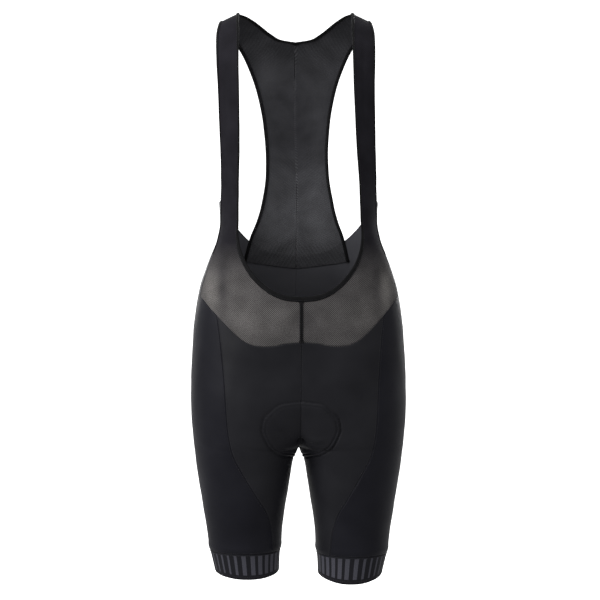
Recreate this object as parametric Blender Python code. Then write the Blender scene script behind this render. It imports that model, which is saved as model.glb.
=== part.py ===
"""Cycling bib shorts, standing in the form they have when worn, with nobody inside.

Frame: +X is the wearer's left, +Y the back, +Z up. The origin lies midway between the two strap tops,
level with their highest point, where the shoulders hold the garment up. Metres throughout.

Every piece is cut from one worn surface, surface(side, q, w). q runs round one half of the garment from
the centre front (0) by the outside (0.5) to the centre back (1). w is the height, and above
SHOULDER_START it follows the cloth as it bends back over the shoulder.
"""

import bmesh
import bpy
import numpy as np

RIGHT, LEFT = -1, 1  # the wearer's sides, which are also the signs of x
SIDES = {"right": RIGHT, "left": LEFT}

# Cloth and clearances
SHORTS_CLOTH = 0.0013
BIB_CLOTH = 0.0010
BINDING_CLOTH = 0.0010
BAND_CLOTH = 0.0015
PAD_THICKNESS = 0.007
GAP = 0.0003  # between pieces at a seam, and between a piece and what lies on it
PAD_CLEARANCE = 0.0046  # the pad hangs a little clear of the stretched cloth, which only its edge is sewn to

SEAM_POINTS = 301  # points that a seam is worked out at

# Horizontal sections of the worn form, from the shoulders to the hem.
# half_width: centre of the body to the outside. leg_x: centre of the leg's oval.
# inner_reach: how far that oval goes inwards, so that above the crotch the two ovals run into each other.
# front, back: depth of the oval either way from the side line.
#           height  half_width leg_x  inner_reach front  back
SECTIONS = (
    (+0.060, 0.1700, 0.0000, 0.3000, 0.0950, 0.0980),
    (-0.050, 0.1690, 0.0000, 0.3000, 0.1000, 0.1010),
    (-0.120, 0.1640, 0.0000, 0.3000, 0.1060, 0.1030),
    (-0.200, 0.1500, 0.0000, 0.3000, 0.1070, 0.1010),
    (-0.260, 0.1350, 0.0000, 0.3000, 0.1020, 0.0960),
    (-0.300, 0.1275, 0.0000, 0.3000, 0.0970, 0.0920),
    (-0.333, 0.1255, 0.0000, 0.3000, 0.0945, 0.0890),
    (-0.360, 0.1300, 0.0000, 0.3000, 0.0940, 0.0880),
    (-0.386, 0.1402, 0.0000, 0.3000, 0.0945, 0.0890),
    (-0.410, 0.1488, 0.0010, 0.3000, 0.0960, 0.0920),
    (-0.435, 0.1568, 0.0040, 0.3000, 0.0980, 0.0960),
    (-0.461, 0.1622, 0.0100, 0.3000, 0.1000, 0.1000),
    (-0.512, 0.1680, 0.0300, 0.2900, 0.1020, 0.1080),
    (-0.563, 0.1706, 0.0500, 0.2600, 0.1020, 0.1150),
    (-0.614, 0.1718, 0.0690, 0.2100, 0.1000, 0.1170),
    (-0.650, 0.1703, 0.0780, 0.1450, 0.0970, 0.1120),
    (-0.672, 0.1686, 0.0820, 0.1120, 0.0945, 0.1070),
    (-0.684, 0.1674, 0.0838, 0.0925, 0.0930, 0.1035),
    (-0.6895, 0.1668, 0.0845, 0.0845, 0.0920, 0.1015),
    (-0.694, 0.1662, 0.0850, 0.0822, 0.0915, 0.1000),
    (-0.704, 0.1648, 0.0855, 0.0793, 0.0900, 0.0970),
    (-0.717, 0.1630, 0.0864, 0.0766, 0.0885, 0.0940),
    (-0.742, 0.1594, 0.0868, 0.0726, 0.0850, 0.0880),
    (-0.768, 0.1550, 0.0868, 0.0682, 0.0805, 0.0815),
    (-0.794, 0.1506, 0.0867, 0.0640, 0.0755, 0.0750),
    (-0.820, 0.1465, 0.0863, 0.0602, 0.0700, 0.0690),
    (-0.845, 0.1433, 0.0855, 0.0578, 0.0645, 0.0640),
    (-0.853, 0.1415, 0.0851, 0.0564, 0.0630, 0.0625),
    (-0.862, 0.1390, 0.0842, 0.0544, 0.0605, 0.0600),
    (-0.883, 0.1342, 0.0826, 0.0517, 0.0570, 0.0570),
    (-0.905, 0.1290, 0.0808, 0.0490, 0.0540, 0.0540),
)
ROUNDNESS = 2.2  # exponent of the ovals: 2 is an ellipse
CROTCH = -0.6895
SHOULDER_START = -0.100  # height where the cloth begins to bend back over the shoulder
SHOULDER_CLOTH = 0.135  # cloth from there to the top of the shoulder
STRAP_TOP_X = 0.0895  # inner edge of the strap where it is highest
SHOULDER_SLOPE = 0.47  # how fast the shoulder falls outside that

# How the form stands: the chest turns and leans a little on the hips, and the left leg hangs lower.
#        height  turn_deg lean_x
STANCE = ((0.060, -2.8, 0.0000), (-0.100, -2.5, 0.0015), (-0.200, -2.0, 0.0035),
          (-0.300, -1.5, 0.0055), (-0.400, 0.0, 0.0055), (-0.910, 0.0, 0.0055))
LEG_DROP = {RIGHT: 0.000, LEFT: 0.006}
LEG_LENGTH = 0.170  # crotch to the top of the gripper

# Seams and edges, as x and z seen square on, from the front or from the back
SCOOP = ((0.0000, -0.4538), (0.0205, -0.4520), (0.0415, -0.4450), (0.0620, -0.4300), (0.0795, -0.4090),
         (0.0890, -0.3900), (0.0945, -0.3720), (0.0965, -0.3550), (0.0955, -0.3330))
STRAP_INNER = ((0.0955, -0.3330), (0.0940, -0.2800), (0.0910, -0.2300), (0.0885, -0.1300),
               (0.0880, -0.0500), (STRAP_TOP_X, 0.0000))
STRAP_OUTER = ((0.1225, -0.3000), (0.1213, -0.2800), (0.1204, -0.2300), (0.1212, -0.1300),
               (0.1235, -0.0500), (0.1200, -0.0143))
MESH_LOWER = ((0.0000, -0.5228), (0.0230, -0.5243), (0.0410, -0.5282), (0.0550, -0.5292), (0.0700, -0.5280),
              (0.0860, -0.5220), (0.1109, -0.5013), (0.1293, -0.4820))
MESH_CORNER = ((0.1293, -0.4820), (0.1400, -0.4705), (0.1500, -0.4590), (0.1568, -0.4520))
SIDE_SEAM = ((0.1568, -0.4520), (0.1525, -0.4350), (0.1448, -0.4100), (0.1372, -0.3860))
SIDE_TOP = ((0.1372, -0.3860), (0.1278, -0.3600), (0.1232, -0.3330), (0.1225, -0.3000))
FRONT_SEAM = ((0.0445, -0.8527), (0.0460, -0.8234), (0.0535, -0.7924), (0.0690, -0.7645), (0.0910, -0.7273),
              (0.1085, -0.6900), (0.1150, -0.6500), (0.1178, -0.6000), (0.1225, -0.5400), (0.1293, -0.4820))
SEAM_SHIFT = {RIGHT: -0.003, LEFT: 0.003}  # the two front seams are not sewn quite alike
WING = ((0.1190, -0.3080), (0.1120, -0.3220), (0.1005, -0.3390), (0.0780, -0.3610), (0.0450, -0.3800),
        (0.0000, -0.3870))
RACERBACK_OUTER = ((0.0880, -0.3940), (0.0777, -0.3539), (0.0672, -0.3272), (0.0599, -0.3004),
                   (0.0522, -0.2469), (0.0516, -0.2202), (0.0551, -0.1667), (0.0650, -0.1131),
                   (0.0814, -0.0663), (0.0980, -0.0380), (0.1110, -0.0260), (0.1200, -0.0143))
BACK_NECK = ((0.0000, -0.0320), (0.0250, -0.0285), (0.0420, -0.0205), (0.0560, -0.0120), (0.0680, -0.0055),
             (0.0800, -0.0012), (STRAP_TOP_X, 0.0000))
RACERBACK_FOOT = -0.4050  # lower edge at the centre back, inside the shorts

# Trim
SCOOP_BINDING = 0.0075
STRAP_BINDING = 0.0045
RACERBACK_BINDING = 0.0050
TAPE_HALF_WIDTH = 0.0028
BAND_TOP = -0.8530
HEM = -0.8880
HEM_SAG = {RIGHT: 0.006, LEFT: 0.009}  # how much lower the hem is at the front than at the sides
BACK_HEM_SAG = 0.003

# Half of the pad's outline: on the front, from its top at the centre front to the inner leg, then the back
PAD_FRONT = ((0.0000, -0.6140), (0.0310, -0.6180), (0.0460, -0.6290), (0.0570, -0.6410), (0.0597, -0.6565),
             (0.0550, -0.6720), (0.0460, -0.6870), (0.0300, -0.6990))
PAD_BACK = ((0.0000, -0.6000), (0.0400, -0.6060), (0.0600, -0.6200), (0.0700, -0.6400), (0.0690, -0.6600),
            (0.0600, -0.6790), (0.0460, -0.6920), (0.0300, -0.7030))
PAD_INSEAM = -0.7080


def smooth(table, column, at):
    """Monotone cubic through one column of a table whose first column falls or rises steadily."""
    rows = np.array(table)
    rows = rows[np.argsort(rows[:, 0])]
    x, y = rows[:, 0], rows[:, column]
    step, slope = np.diff(x), np.diff(y) / np.diff(x)
    inner = np.where(slope[1:] * slope[:-1] > 0,
                     2 * slope[1:] * slope[:-1] / (slope[1:] + slope[:-1] + 1e-30), 0.0)
    tangent = np.concatenate(([slope[0]], inner, [slope[-1]]))
    at = np.clip(at, x[0], x[-1])
    i = np.clip(np.searchsorted(x, at) - 1, 0, len(step) - 1)
    t = (at - x[i]) / step[i]
    return ((1 + 2 * t) * (1 - t) ** 2 * y[i] + t * (1 - t) ** 2 * step[i] * tangent[i]
            + t * t * (3 - 2 * t) * y[i + 1] + t * t * (t - 1) * step[i] * tangent[i + 1])


def section(w):
    """half_width, leg_x, inner_reach, front and back at a height, and the angle where the half begins."""
    half, leg_x, inner, front, back = (smooth(SECTIONS, c, w) for c in range(1, 6))
    start = -np.arcsin(np.clip(leg_x / inner, 0, 1) ** (ROUNDNESS / 2))
    return half, leg_x, inner, front, back, start


def shoulder_top(x):
    return -SHOULDER_SLOPE * np.maximum(0, np.abs(x) - STRAP_TOP_X)


def surface(side, q, w):
    """Points of the worn surface."""
    q, w = np.broadcast_arrays(np.asarray(q, float), np.asarray(w, float))
    half, leg_x, inner, front, back, start = section(w)
    angle = start + q * (np.pi - 2 * start)
    sine, cosine = np.sin(angle), np.cos(angle)
    x = leg_x + np.where(sine > 0, half - leg_x, inner) * np.sign(sine) * np.abs(sine) ** (2 / ROUNDNESS)
    y = np.where(cosine > 0, -front, back) * np.abs(cosine) ** (2 / ROUNDNESS)
    x = np.maximum(x, 0.0)
    bend = np.clip((w - SHOULDER_START) / SHOULDER_CLOTH, 0, 1) * np.pi / 2
    y = y * np.cos(bend)
    z = np.where(w > SHOULDER_START,
                 SHOULDER_START + (shoulder_top(x) - SHOULDER_START) * np.sin(bend), w)
    z = z - LEG_DROP[side] * np.clip((CROTCH - w) / LEG_LENGTH, 0, 1)
    x = x * side
    turn, lean = np.radians(smooth(STANCE, 1, w)), smooth(STANCE, 2, w)
    return np.stack([x * np.cos(turn) - y * np.sin(turn) + lean, x * np.sin(turn) + y * np.cos(turn), z], -1)


def normal(side, q, w):
    """Outward unit normals of the worn surface."""
    dq, dw = 0.004, 0.0015
    ahead, behind = (np.where(w < CROTCH + 1e-6, (q + d) % 1, np.clip(q + d, 0, 1)) for d in (dq, -dq))
    across = surface(side, ahead, w) - surface(side, behind, w)
    up = surface(side, q, w + dw) - surface(side, q, w - dw)
    n = np.cross(across, up) * side
    return n / np.maximum(np.linalg.norm(n, axis=-1, keepdims=True), 1e-12)


def place(x, z, back=False):
    """The q and w of a point given by its x and z, on the front or on the back."""
    top = shoulder_top(x)
    rise = np.clip((z - SHOULDER_START) / (top - SHOULDER_START), 0, 1)
    w = np.where(z > SHOULDER_START, SHOULDER_START + SHOULDER_CLOTH * np.arcsin(rise) * 2 / np.pi, z)
    half, leg_x, inner, _, _, start = section(w)
    share = np.where(x > leg_x, (x - leg_x) / (half - leg_x), (x - leg_x) / inner)
    angle = np.arcsin(np.sign(share) * np.minimum(np.abs(share), 1) ** (ROUNDNESS / 2))
    q = (angle - start) / (np.pi - 2 * start)
    return np.stack([1 - q if back else q, w], -1)


def seam_along(points):
    """A seam: rows of share, q and w, where share is how far along the cloth the point lies, from 0 to 1."""
    steps = np.linalg.norm(np.diff(surface(LEFT, points[:, 0], points[:, 1]), axis=0), axis=1)
    along = np.concatenate(([0], np.cumsum(steps + 1e-12)))
    return np.column_stack([along / along[-1], points])


def curve(stops, back=False, shift=0.0):
    """A smooth seam through x and z stops seen from the front or the back; a shift fades out at its top."""
    stops = np.array(stops, float)
    along = np.concatenate(([0], np.cumsum(np.linalg.norm(np.diff(stops, axis=0), axis=1))))
    steps = np.linspace(0, along[-1], SEAM_POINTS)
    x, z = (smooth(np.column_stack([along, stops[:, k]]), 1, steps) for k in range(2))
    return seam_along(place(x + shift * np.clip(1.2 * (1 - steps / along[-1]), 0, 1), z, back))


def straight(start, end):
    """A seam straight from one q and w to another."""
    return seam_along(np.linspace(start, end, SEAM_POINTS))


def joined(*seams):
    return seam_along(np.concatenate([seam[:, 1:] for seam in seams]))


def joints(*seams):
    """The shares along joined seams at which one ends and the next begins."""
    lengths = np.cumsum([cloth_length(seam[:, 1:]) for seam in seams])
    return lengths[:-1] / lengths[-1]


def at(seam, share):
    return np.stack([np.interp(share, seam[:, 0], seam[:, k]) for k in (1, 2)], -1)


def height_share(seam, height):
    """The share at which a seam that climbs reaches a height."""
    return np.interp(height, seam[:, 2], seam[:, 0])


def timed(seam, share, wanted):
    """The same seam, run through so that its point at one share comes at another."""
    return np.column_stack([np.interp(seam[:, 0], [0, share, 1], [0, wanted, 1]), seam[:, 1:]])


class Patch:
    """A panel between four seams: low and high run with u, start and end run with v."""

    def __init__(self, low, high, start, end):
        self.low, self.high, self.start, self.end = low, high, start, end

    def qw(self, u, v):
        u, v = (np.asarray(share, float)[..., None] for share in (u, v))
        ruled = ((1 - v) * at(self.low, u[..., 0]) + v * at(self.high, u[..., 0])
                 + (1 - u) * at(self.start, v[..., 0]) + u * at(self.end, v[..., 0]))
        corners = ((1 - u) * ((1 - v) * self.low[0, 1:] + v * self.high[0, 1:])
                   + u * ((1 - v) * self.low[-1, 1:] + v * self.high[-1, 1:]))
        return ruled - corners

    def across(self, u):
        """Cloth across the panel at one u."""
        return cloth_length(self.qw(np.full(41, u), np.linspace(0, 1, 41)))

    def along(self, v):
        """Cloth along the panel at one v."""
        return cloth_length(self.qw(np.linspace(0, 1, 41), np.full(41, v)))

    def grid(self, us, levels):
        """q and w on a grid; levels(u) gives the shares across at each u."""
        return np.stack([self.qw(np.full(len(levels(u)), u), levels(u)) for u in us])


def cloth_length(qw):
    return np.linalg.norm(np.diff(surface(LEFT, qw[:, 0], qw[:, 1]), axis=0), axis=1).sum()


def cells(count, length, first=0.0, last=0.0, inset=GAP / 2):
    """Shares of a length: its two edges, a band of given width inside each if wanted, and even cells."""
    low, high = inset / length, 1 - inset / length
    below = [low, first / length] if first else [low]
    above = [1 - last / length, high] if last else [high]
    return np.array(below[:-1] + list(np.linspace(below[-1], above[0], count + 1)) + above[1:])


def runs(*stretches):
    """Shares along a panel: (from, to, cells) for each stretch, end to end."""
    return np.concatenate([np.linspace(a, b, n + 1)[:-1] for a, b, n in stretches] + [[stretches[-1][1]]])


def weave(bm, side, qw, lift, inward, seam_gap):
    """Add one sheet on the grid qw to a bmesh, moved out by lift, and note which way its wall goes."""
    q, w = qw[..., 0], qw[..., 1]
    out, lean = normal(side, q, w), smooth(STANCE, 2, w)
    points = surface(side, q, w)
    middle = (np.minimum(q, 1 - q) < 1e-6) & (w > CROTCH - 1e-5)
    if seam_gap:
        clear = lean + side * seam_gap
        points[..., 0] = np.maximum(points[..., 0], clear) if side > 0 else np.minimum(points[..., 0], clear)
    else:
        out[middle, 0] = 0
        out[middle & (w < CROTCH + 1e-5)] = (0, 0, -1)
        out /= np.linalg.norm(out, axis=-1, keepdims=True)
        points[middle, 0] = lean[middle]
    points += out * np.broadcast_to(lift(w) if callable(lift) else lift, w.shape)[..., None]
    rows, columns = w.shape
    made = bmesh.ops.create_grid(bm, x_segments=rows - 1, y_segments=columns - 1, size=0.5)["verts"]
    for vert in made:
        i, j = round((vert.co.x + 0.5) * (rows - 1)), round((vert.co.y + 0.5) * (columns - 1))
        vert.co = points[i, j]
        vert[inward] = -out[i, j]


def cloth(name, sheets, thickness, finish, seam_gap=GAP / 2):
    """A piece of cloth: (side, grid, lift) sheets, welded where they meet, then thickened inwards."""
    bm = bmesh.new()
    inward = bm.verts.layers.float_vector.new("inward")
    for side, qw, lift in sheets:
        weave(bm, side, qw, lift, inward, seam_gap)
    bmesh.ops.remove_doubles(bm, verts=bm.verts, dist=0.00002)
    bmesh.ops.dissolve_degenerate(bm, edges=bm.edges, dist=0.00002)
    made = bmesh.ops.extrude_face_region(bm, geom=bm.faces[:], use_keep_orig=True)["geom"]
    for vert in made:
        if isinstance(vert, bmesh.types.BMVert):
            vert.co += vert[inward] * thickness
    bmesh.ops.recalc_face_normals(bm, faces=bm.faces)
    mesh = bpy.data.meshes.new(name)
    bm.to_mesh(mesh)
    bm.free()
    mesh.shade_smooth()
    colour, roughness = finish
    paint = bpy.data.materials.new(name)
    paint.use_nodes = True
    shader = paint.node_tree.nodes["Principled BSDF"]
    shader.inputs["Base Color"].default_value = (*colour, 1)
    shader.inputs["Roughness"].default_value = roughness
    mesh.materials.append(paint)
    garment.objects.link(bpy.data.objects.new(name, mesh))


for thing in list(bpy.data.objects):
    bpy.data.objects.remove(thing)
garment = bpy.data.collections.new("cycling_bib_shorts")
bpy.context.scene.collection.children.link(garment)

# Finishes: colour and roughness
STRETCH_KNIT = ((0.013, 0.013, 0.017), 0.55)
BIB_MESH = ((0.060, 0.060, 0.060), 0.70)
ELASTIC = ((0.009, 0.009, 0.010), 0.65)
FOAM = ((0.012, 0.012, 0.014), 0.85)

# Cells along the seams where two panels meet, so that both have their points in the same places
HIP_CELLS, CORNER_CELLS, SIDE_CELLS = 8, 2, 3
LEG_CELLS, RISE_CELLS = 8, 10
# Cells across the other pieces
BIB_CELLS, RACERBACK_CELLS, BACK_CELLS, TAPE_CELLS = 4, 3, 15, 5
BAND_ROUND, BAND_HIGH, PAD_ALONG, PAD_ACROSS = 28, 3, 10, 5
NEAR_SHOULDER = 0.9  # share of a strap after which its cells are shorter, to bend over the shoulder

# Seams and edges that the two sides share
scoop, strap_inner, strap_outer = curve(SCOOP), curve(STRAP_INNER), curve(STRAP_OUTER)
mesh_lower, mesh_corner = curve(MESH_LOWER), curve(MESH_CORNER)
side_seam, side_top = curve(SIDE_SEAM), curve(SIDE_TOP)
wing_back = curve(WING, back=True)
wing = joined(straight(side_top[-1, 1:], wing_back[0, 1:]), wing_back)
racerback_outer, back_neck = curve(RACERBACK_OUTER, back=True), curve(BACK_NECK, back=True)

# Bib fronts: mesh from the top of the shorts up to the scoop, running on as the shoulder strap.
# u follows the scoop and the strap up to the shoulder, v crosses from the outer edge to the scoop.
bib = Patch(low=joined(mesh_lower, mesh_corner, side_seam, side_top, strap_outer),
            high=joined(scoop, strap_inner),
            start=straight(mesh_lower[0, 1:], scoop[0, 1:]),
            end=straight(strap_outer[-1, 1:], strap_inner[-1, 1:]))
hip, corner, notch, wing_tip = joints(mesh_lower, mesh_corner, side_seam, side_top, strap_outer)
bib_us = runs((GAP / 2 / bib.along(0.5), hip, HIP_CELLS), (hip, corner, CORNER_CELLS),
              (corner, notch, SIDE_CELLS), (notch, wing_tip, SIDE_CELLS), (wing_tip, NEAR_SHOULDER, 4),
              (NEAR_SHOULDER, 1 - GAP / 2 / bib.along(1), 3))


def scoop_binding_width(u):
    """Wide round the scoop, narrowing between two shares of its length, and narrow up the strap."""
    wide_to, narrow_from = 0.42, 0.62
    return STRAP_BINDING + (SCOOP_BINDING - STRAP_BINDING) * np.clip(
        (narrow_from - u) / (narrow_from - wide_to), 0, 1)


def bib_levels(u):
    return cells(BIB_CELLS, bib.across(u), first=STRAP_BINDING, last=scoop_binding_width(u))


bib_grid = bib.grid(bib_us, bib_levels)
on_top = GAP + BINDING_CLOTH
for name, side in SIDES.items():
    cloth(f"bib_front_{name}", [(side, bib_grid, 0.0)], BIB_CLOTH, BIB_MESH)

# Binding of the scoop and of the straps' inner edges, one length from shoulder to shoulder
scoop_us = np.concatenate([[0.0], bib_us[1:]])
scoop_grid = bib.grid(scoop_us, bib_levels)[:, -2:]
cloth("scoop_binding", [(side, scoop_grid, on_top) for side in SIDES.values()], BINDING_CLOTH, ELASTIC, 0)

# Binding of the straps' outer edges, from the notch at the side up to the shoulder
strap_grid = bib.grid(bib_us[bib_us > notch - 1e-6], bib_levels)[:, :2]
for name, side in SIDES.items():
    cloth(f"strap_binding_{name}", [(side, strap_grid, on_top)], BINDING_CLOTH, ELASTIC)

# Tape over the seam of the two bib fronts
tape_heights = np.linspace(MESH_LOWER[0][1] + GAP / 2, SCOOP[0][1] - SCOOP_BINDING - 2 * GAP, TAPE_CELLS + 1)
tape_middle = np.column_stack([np.zeros_like(tape_heights), tape_heights])
tape_edge = place(np.full_like(tape_heights, TAPE_HALF_WIDTH), tape_heights)
tape_grid = np.stack([tape_middle, tape_edge])
cloth("centre_front_tape", [(side, tape_grid, on_top) for side in SIDES.values()], BINDING_CLOTH, ELASTIC, 0)

# Racerback: one mesh piece from inside the back of the shorts up to both shoulders.
# u climbs from its foot to the shoulder, v crosses from the centre back and the neck to the armhole.
racerback_middle = straight((1, RACERBACK_FOOT), back_neck[0, 1:])
racerback = Patch(low=joined(racerback_middle, back_neck),
                  high=racerback_outer,
                  start=straight((1, RACERBACK_FOOT), racerback_outer[0, 1:]),
                  end=straight(back_neck[-1, 1:], racerback_outer[-1, 1:]))
neck, = joints(racerback_middle, back_neck)
below_neck = neck - SCOOP_BINDING / racerback.along(0)
racerback_us = runs((0, below_neck, 11), (below_neck, neck, 1), (neck, NEAR_SHOULDER, 5),
                    (NEAR_SHOULDER, 1 - GAP / 2 / racerback.along(1), 3))


def racerback_levels(u):
    return cells(RACERBACK_CELLS, racerback.across(u), first=SCOOP_BINDING, last=RACERBACK_BINDING, inset=0.0)


def tucked(w):
    """The racerback's foot lies inside the shorts, and comes out to the worn surface above them."""
    above_shorts, inside_shorts = -0.300, -0.350
    return -(SHORTS_CLOTH + 3 * GAP) * np.clip((above_shorts - w) / (above_shorts - inside_shorts), 0, 1)


def under_racerback(w):
    return tucked(w) - BIB_CLOTH - GAP


racerback_grid = racerback.grid(racerback_us, racerback_levels)
cloth("racerback", [(side, racerback_grid, tucked) for side in SIDES.values()], BIB_CLOTH, BIB_MESH, 0)
for name, side in SIDES.items():
    cloth(f"racerback_binding_{name}", [(side, racerback_grid[:, -2:], under_racerback)],
          BINDING_CLOTH, ELASTIC)
neck_grid = racerback_grid[racerback_us > neck - 1e-6][:, :2]
neck_middle = racerback.qw(np.array([[neck, below_neck]]), np.zeros((1, 2)))
neck_grid = np.concatenate([neck_middle, neck_grid])
cloth("back_neck_binding", [(side, neck_grid, under_racerback) for side in SIDES.values()],
      BINDING_CLOTH, ELASTIC, 0)

# Shorts: a front panel each side, and a panel that goes round the outside to the centre back and rises
# behind the strap. u runs round the leg, v up from the gripper.
for name, side in SIDES.items():
    front_seam = curve(FRONT_SEAM, shift=SEAM_SHIFT[side])
    front = Patch(low=straight((0, BAND_TOP), front_seam[0, 1:]),
                  high=mesh_lower,
                  start=straight((0, BAND_TOP), mesh_lower[0, 1:]),
                  end=front_seam)
    crotch = height_share(front.start, CROTCH)

    def front_rows(u, panel=front, low=crotch):
        inset = GAP / 2 / panel.across(u)
        return runs((inset, low, LEG_CELLS), (low, 1 - inset, RISE_CELLS))

    front_grid = front.grid(cells(HIP_CELLS, front.along(0.6)), front_rows)
    cloth(f"shorts_front_{name}", [(side, front_grid, 0.0)], SHORTS_CLOTH, STRETCH_KNIT)

    back_edge = joined(front_seam, mesh_corner, side_seam, side_top)
    hip_v, corner_v, notch_v = joints(front_seam, mesh_corner, side_seam, side_top)
    middle = straight((1, BAND_TOP), wing[-1, 1:])
    back = Patch(low=straight(front_seam[0, 1:], (1, BAND_TOP)),
                 high=wing,
                 start=back_edge,
                 end=timed(middle, height_share(middle, CROTCH), hip_v * crotch))

    def back_rows(u, panel=back, low=hip_v * crotch, stops=(hip_v, corner_v, notch_v)):
        inset = GAP / 2 / panel.across(u)
        hip_stop, corner_stop, notch_stop = stops
        return runs((inset, low, LEG_CELLS), (low, hip_stop, RISE_CELLS),
                    (hip_stop, corner_stop, CORNER_CELLS), (corner_stop, notch_stop, SIDE_CELLS),
                    (notch_stop, 1 - inset, SIDE_CELLS))

    back_grid = back.grid(cells(BACK_CELLS, back.along(0.5)), back_rows)
    cloth(f"shorts_back_{name}", [(side, back_grid, 0.0)], SHORTS_CLOTH, STRETCH_KNIT)

    # Leg gripper: an elastic band sewn to the leg
    q = np.linspace(0, 1, BAND_ROUND + 1)
    facing_front = np.cos((q - 0.25) * 2 * np.pi)
    sag = (HEM_SAG[side] * np.maximum(facing_front, 0) ** 2
           + BACK_HEM_SAG * np.minimum(facing_front, 0) ** 2)
    hem = HEM - sag
    rise = np.linspace(0, 1, BAND_HIGH + 1)
    band = np.stack([np.column_stack([np.full_like(rise, a), b + rise * (BAND_TOP - GAP / 2 - b)])
                     for a, b in zip(q, hem)])
    cloth(f"leg_gripper_{name}", [(side, band, 0.0)], BAND_CLOTH, ELASTIC)

# Seat pad, inside the crotch: on each side a front and a back half, which meet along the inside leg
pad_halves = []
for q, outline in ((0, PAD_FRONT), (1, PAD_BACK)):
    top, crotch_point, foot = (q, outline[0][1]), (q, CROTCH), (q, PAD_INSEAM)
    rim = curve(outline, back=bool(q))
    half = Patch(low=straight(top, crotch_point), high=joined(rim, straight(rim[-1, 1:], foot)),
                 start=straight(top, top), end=straight(crotch_point, foot))
    across = np.linspace(0, 1, PAD_ACROSS + 1)
    pad_halves.append(half.grid(np.linspace(0, 1, PAD_ALONG + 1), lambda u: across))
under_shorts = -(SHORTS_CLOTH + PAD_CLEARANCE)
cloth("seat_pad", [(side, grid, under_shorts) for side in SIDES.values() for grid in pad_halves],
      PAD_THICKNESS, FOAM, 0)
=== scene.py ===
"""Cycling bib shorts in the form they have when worn, with nobody inside.

Frame: metres, +X the wearer's left, +Y the back, +Z up, and the origin between the strap tops.
"""

import bmesh
import bpy
import numpy as np
from mathutils import Matrix, Vector


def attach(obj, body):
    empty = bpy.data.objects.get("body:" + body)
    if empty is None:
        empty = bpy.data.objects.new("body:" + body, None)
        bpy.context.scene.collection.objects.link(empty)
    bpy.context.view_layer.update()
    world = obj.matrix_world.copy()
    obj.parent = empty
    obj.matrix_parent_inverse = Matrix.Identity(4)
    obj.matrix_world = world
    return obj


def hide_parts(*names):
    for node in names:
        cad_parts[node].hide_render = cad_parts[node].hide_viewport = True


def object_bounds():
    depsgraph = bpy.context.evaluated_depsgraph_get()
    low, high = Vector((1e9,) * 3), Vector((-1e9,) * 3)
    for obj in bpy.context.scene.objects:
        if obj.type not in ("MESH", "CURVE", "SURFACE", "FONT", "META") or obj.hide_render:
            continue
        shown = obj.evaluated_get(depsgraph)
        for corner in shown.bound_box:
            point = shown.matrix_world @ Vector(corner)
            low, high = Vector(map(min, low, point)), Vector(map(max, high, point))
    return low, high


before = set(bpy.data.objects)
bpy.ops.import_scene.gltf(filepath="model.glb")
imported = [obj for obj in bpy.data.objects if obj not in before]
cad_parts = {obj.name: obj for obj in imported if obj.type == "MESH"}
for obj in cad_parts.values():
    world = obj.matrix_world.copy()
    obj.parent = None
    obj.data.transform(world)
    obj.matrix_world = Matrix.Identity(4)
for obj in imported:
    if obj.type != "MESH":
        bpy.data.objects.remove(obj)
cad_low, cad_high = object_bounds()

# ---------------------------------------------------------------------------------------------------
# Bib fronts. Two panels of fine knitted mesh, sewn together at the centre front and to the top of the
# shorts. Each runs on upwards as a shoulder strap. Worn, they are stretched smooth over the hips.
# ---------------------------------------------------------------------------------------------------

SEAM_POINTS = 301  # points that a seam is worked out at

RIGHT, LEFT = -1, 1  # the wearer's sides, which are also the signs of x
SIDES = {"right": RIGHT, "left": LEFT}

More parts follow.
